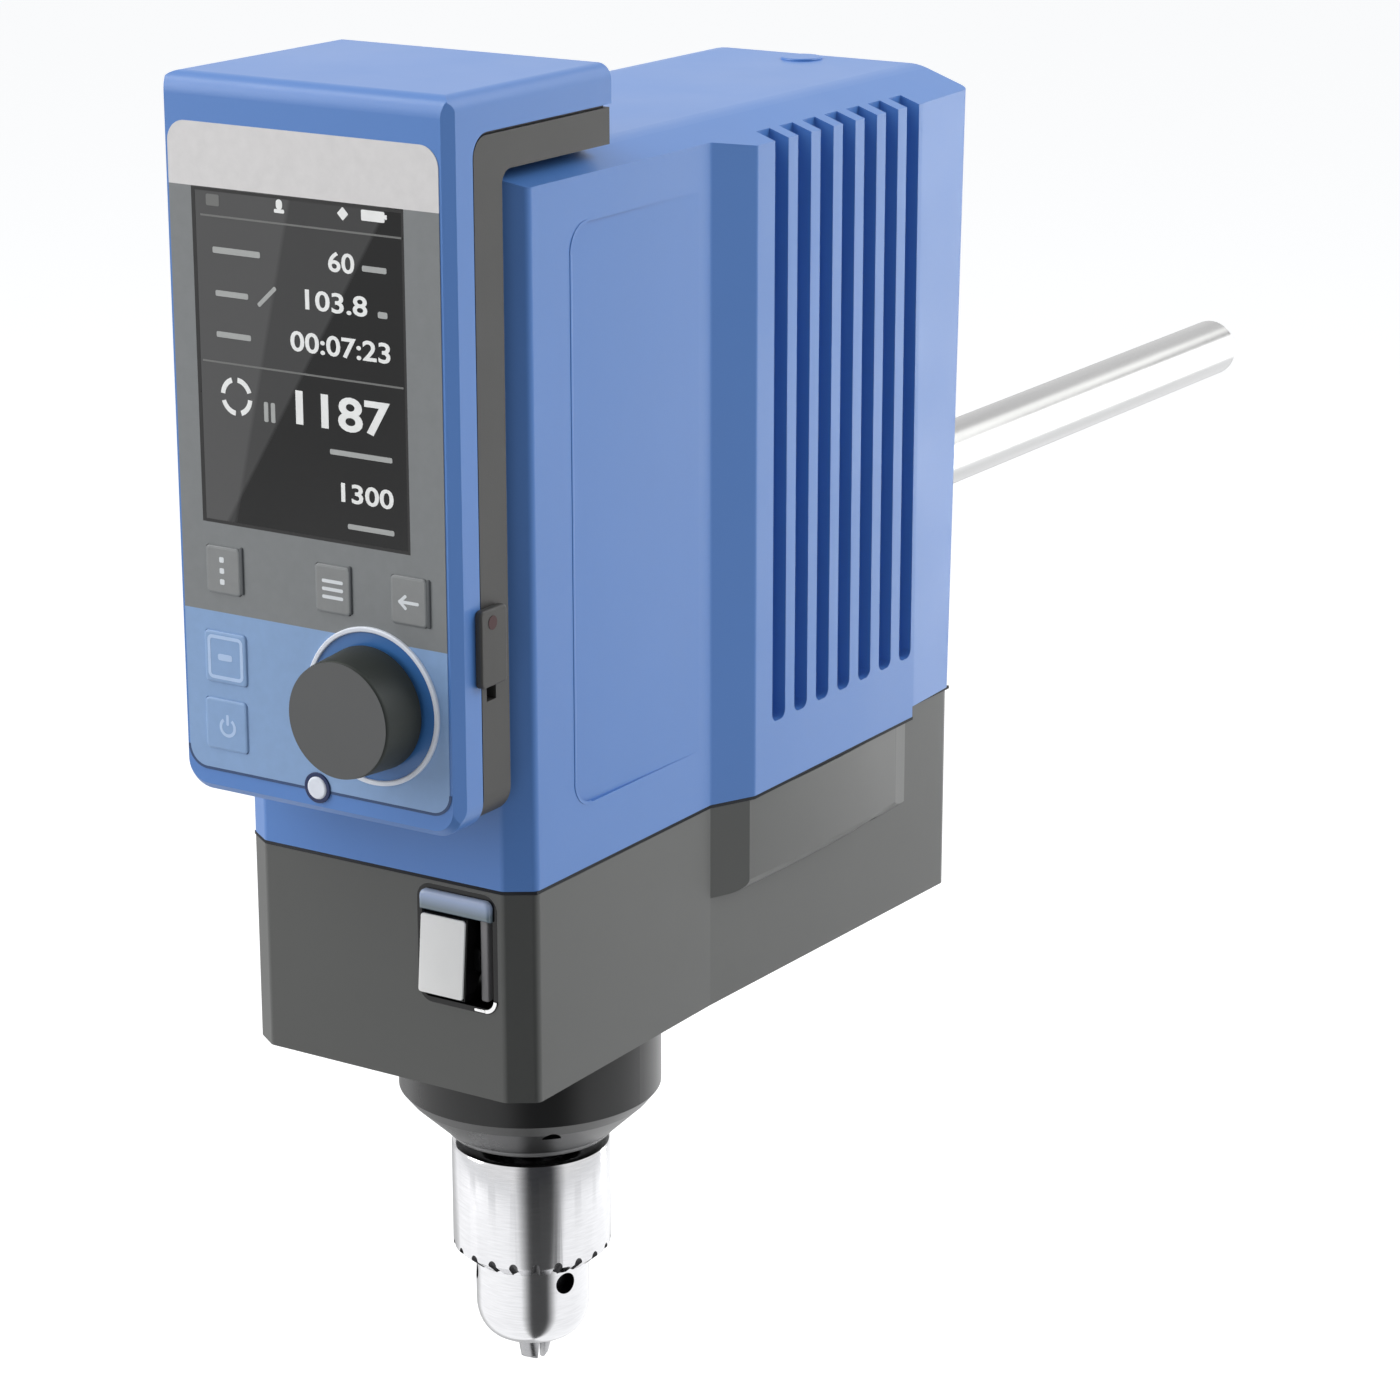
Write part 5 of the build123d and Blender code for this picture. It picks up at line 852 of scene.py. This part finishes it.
def jaw_side(z):
    """Radius of the hollow that the leaning jaws slide in."""
    return 3.106 + 0.26 + 0.268 * z


def chuck_nose():
    """Body of the chuck: a rounded nose with key holes, and the hub inside the sleeve."""
    rounding = [(NOSE_TIP_R + NOSE_ROUND[0] * math.sin(math.radians(angle)),
                 NOSE_ROUND_Z - NOSE_ROUND[1] * math.cos(math.radians(angle))) for angle in range(0, 91, 9)]
    shell = [(jaw_side(NOSE_LOW_Z), NOSE_LOW_Z)] + rounding
    shell += [(NOSE_R, NOSE_TOP_Z), (jaw_side(NOSE_TOP_Z), NOSE_TOP_Z)]
    hub = [(7.6, 48.6), (16.6, 48.6), (16.6, 55.4), (11.5, 55.4), (10.5, 56.6), (7.6, 56.6)]
    piece = turned("chuck_nose", [shell, hub], finishes["chrome_steel"], "spindle")
    holes = bmesh.new()
    for k in range(JAWS):
        rod_cutter(holes, KEY_HOLE_R, 6.0, 90.0, KEY_HOLE_AT, KEY_HOLE_TURN + 360.0 / JAWS * k)
    drilled(piece, holes, finishes["bore_shade_dark"])
    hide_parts("chuck_body")


def chuck_sleeve_ring():
    """Sleeve of the chuck, with a bevel that round key teeth are cut in."""
    wall = [(13.38, 27.0), (14.6, 27.0), (14.9, 27.15), (18.35, 30.1), (SLEEVE_R, 30.5), (SLEEVE_R, 55.2),
            (18.2, 55.8), (17.6, 56.0), (16.7, 56.0), (16.7, 33.2), (13.38, 33.2)]
    piece = turned("chuck_sleeve_ring", [wall], finishes["chrome_steel"], "chuck_sleeve")
    scallops = bmesh.new()
    for k in range(TEETH):
        rod_cutter(scallops, SCALLOP_R, 9.0, SCALLOP_LEAN, SCALLOP_AT, SCALLOP_TURN + 360.0 * k / TEETH)
    drilled(piece, scallops, finishes["bore_shade_dark"])
    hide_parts("chuck_sleeve", "ring_nut")


def flange_lip():
    """Light grey edge at the foot of the spindle flange: a painted highlight where the lip catches the light.
    """
    lip = [(19.95, 60.5), (20.08, 60.5), (20.08, 59.97), (18.9, 58.7), (18.75, 58.8), (19.95, 60.0)]
    turned("flange_lip", [lip], finishes["lip_highlight_grey"], "housing")


chuck_nose()
chuck_sleeve_ring()
flange_lip()

# ---------------------------------------------------------------- housing trim
FRONT_SEAM_Z = (138.04, 138.76)
REAR_SEAM_Z = (140.64, 141.36)
SEAM_INSET = 0.12
SEAM_WIDTH = 0.5
BEAD_Y = -36.0             # front edge of the side panels
BEAD_TURN_Y = -30.0
BEAD_Z = (159.0, 273.0)
BEAD_DEPTH = (-38.14, -37.8)


def seam_band(name, plan, z):
    """A thin rubber line that follows a closed plan outline."""
    bm = bmesh.new()
    face = bm.faces.new([bm.verts.new((x, y, z[0])) for x, y in plan])
    bmesh.ops.inset_region(bm, faces=[face], thickness=SEAM_INSET, use_even_offset=True, use_boundary=True)
    outer = [f for f in bm.faces if f is not face]
    bmesh.ops.delete(bm, geom=outer, context="FACES")
    bmesh.ops.inset_region(bm, faces=[face], thickness=SEAM_WIDTH, use_even_offset=True, use_boundary=True)
    bmesh.ops.delete(bm, geom=[face], context="FACES")
    band = bmesh.ops.extrude_face_region(bm, geom=bm.faces[:])["geom"]
    raised = [g for g in band if isinstance(g, bmesh.types.BMVert)]
    bmesh.ops.translate(bm, vec=(0, 0, z[1] - z[0]), verts=raised)
    new_piece(name, bm, finishes["seam_navy"], "housing")


def panel_bead(name, side):
    """Raised edge along the front of a side panel, made facing front and then turned to its side."""
    bm = bmesh.new()
    edge_y = BEAD_Y * side
    run = (BEAD_Z[0] + HAIRLINE, BEAD_Z[1] - HAIRLINE)
    slab(bm, (edge_y - 0.4, edge_y + 0.4), BEAD_DEPTH, run, 0.0, 0.12)
    upper, lower = (90.0, 180.0) if side > 0 else (0.0, 270.0)
    hoop(bm, 6.4, 5.6, BEAD_DEPTH, (BEAD_TURN_Y * side, BEAD_Z[1]), 16, 0.0, 90.0, upper)
    hoop(bm, 6.4, 5.6, BEAD_DEPTH, (BEAD_TURN_Y * side, BEAD_Z[0]), 16, 0.0, 90.0, lower)
    bmesh.ops.rotate(bm, cent=(0, 0, 0), verts=bm.verts,
                     matrix=Matrix.Rotation(math.radians(90.0 * side), 3, "Z"))
    new_piece(name, bm, finishes["housing_blue"], "housing")


front_right = [(31.8, -55.0), (38.0, -50.9), (38.0, 18.0), (43.0, 29.0), (43.0, 101.9)]
seam_band("front_seam", front_right + [(-x, y) for x, y in reversed(front_right)], FRONT_SEAM_Z)
seam_band("rear_seam", [(41.8, 102.2), (41.8, 122.0), (-41.8, 122.0), (-41.8, 102.2)], REAR_SEAM_Z)
panel_bead("right_panel_bead", 1)
panel_bead("left_panel_bead", -1)

# ---------------------------------------------------------------- floor
floor_bm = bmesh.new()
bmesh.ops.create_grid(floor_bm, x_segments=1, y_segments=1, size=6.0)
bmesh.ops.translate(floor_bm, verts=floor_bm.verts, vec=(0, 0, FLOOR_Z))
floor_mesh = bpy.data.meshes.new("floor")
floor_bm.to_mesh(floor_mesh)
floor_bm.free()
floor = bpy.data.objects.new("floor", floor_mesh)
bpy.context.collection.objects.link(floor)
floor_mesh.materials.append(make_paper())
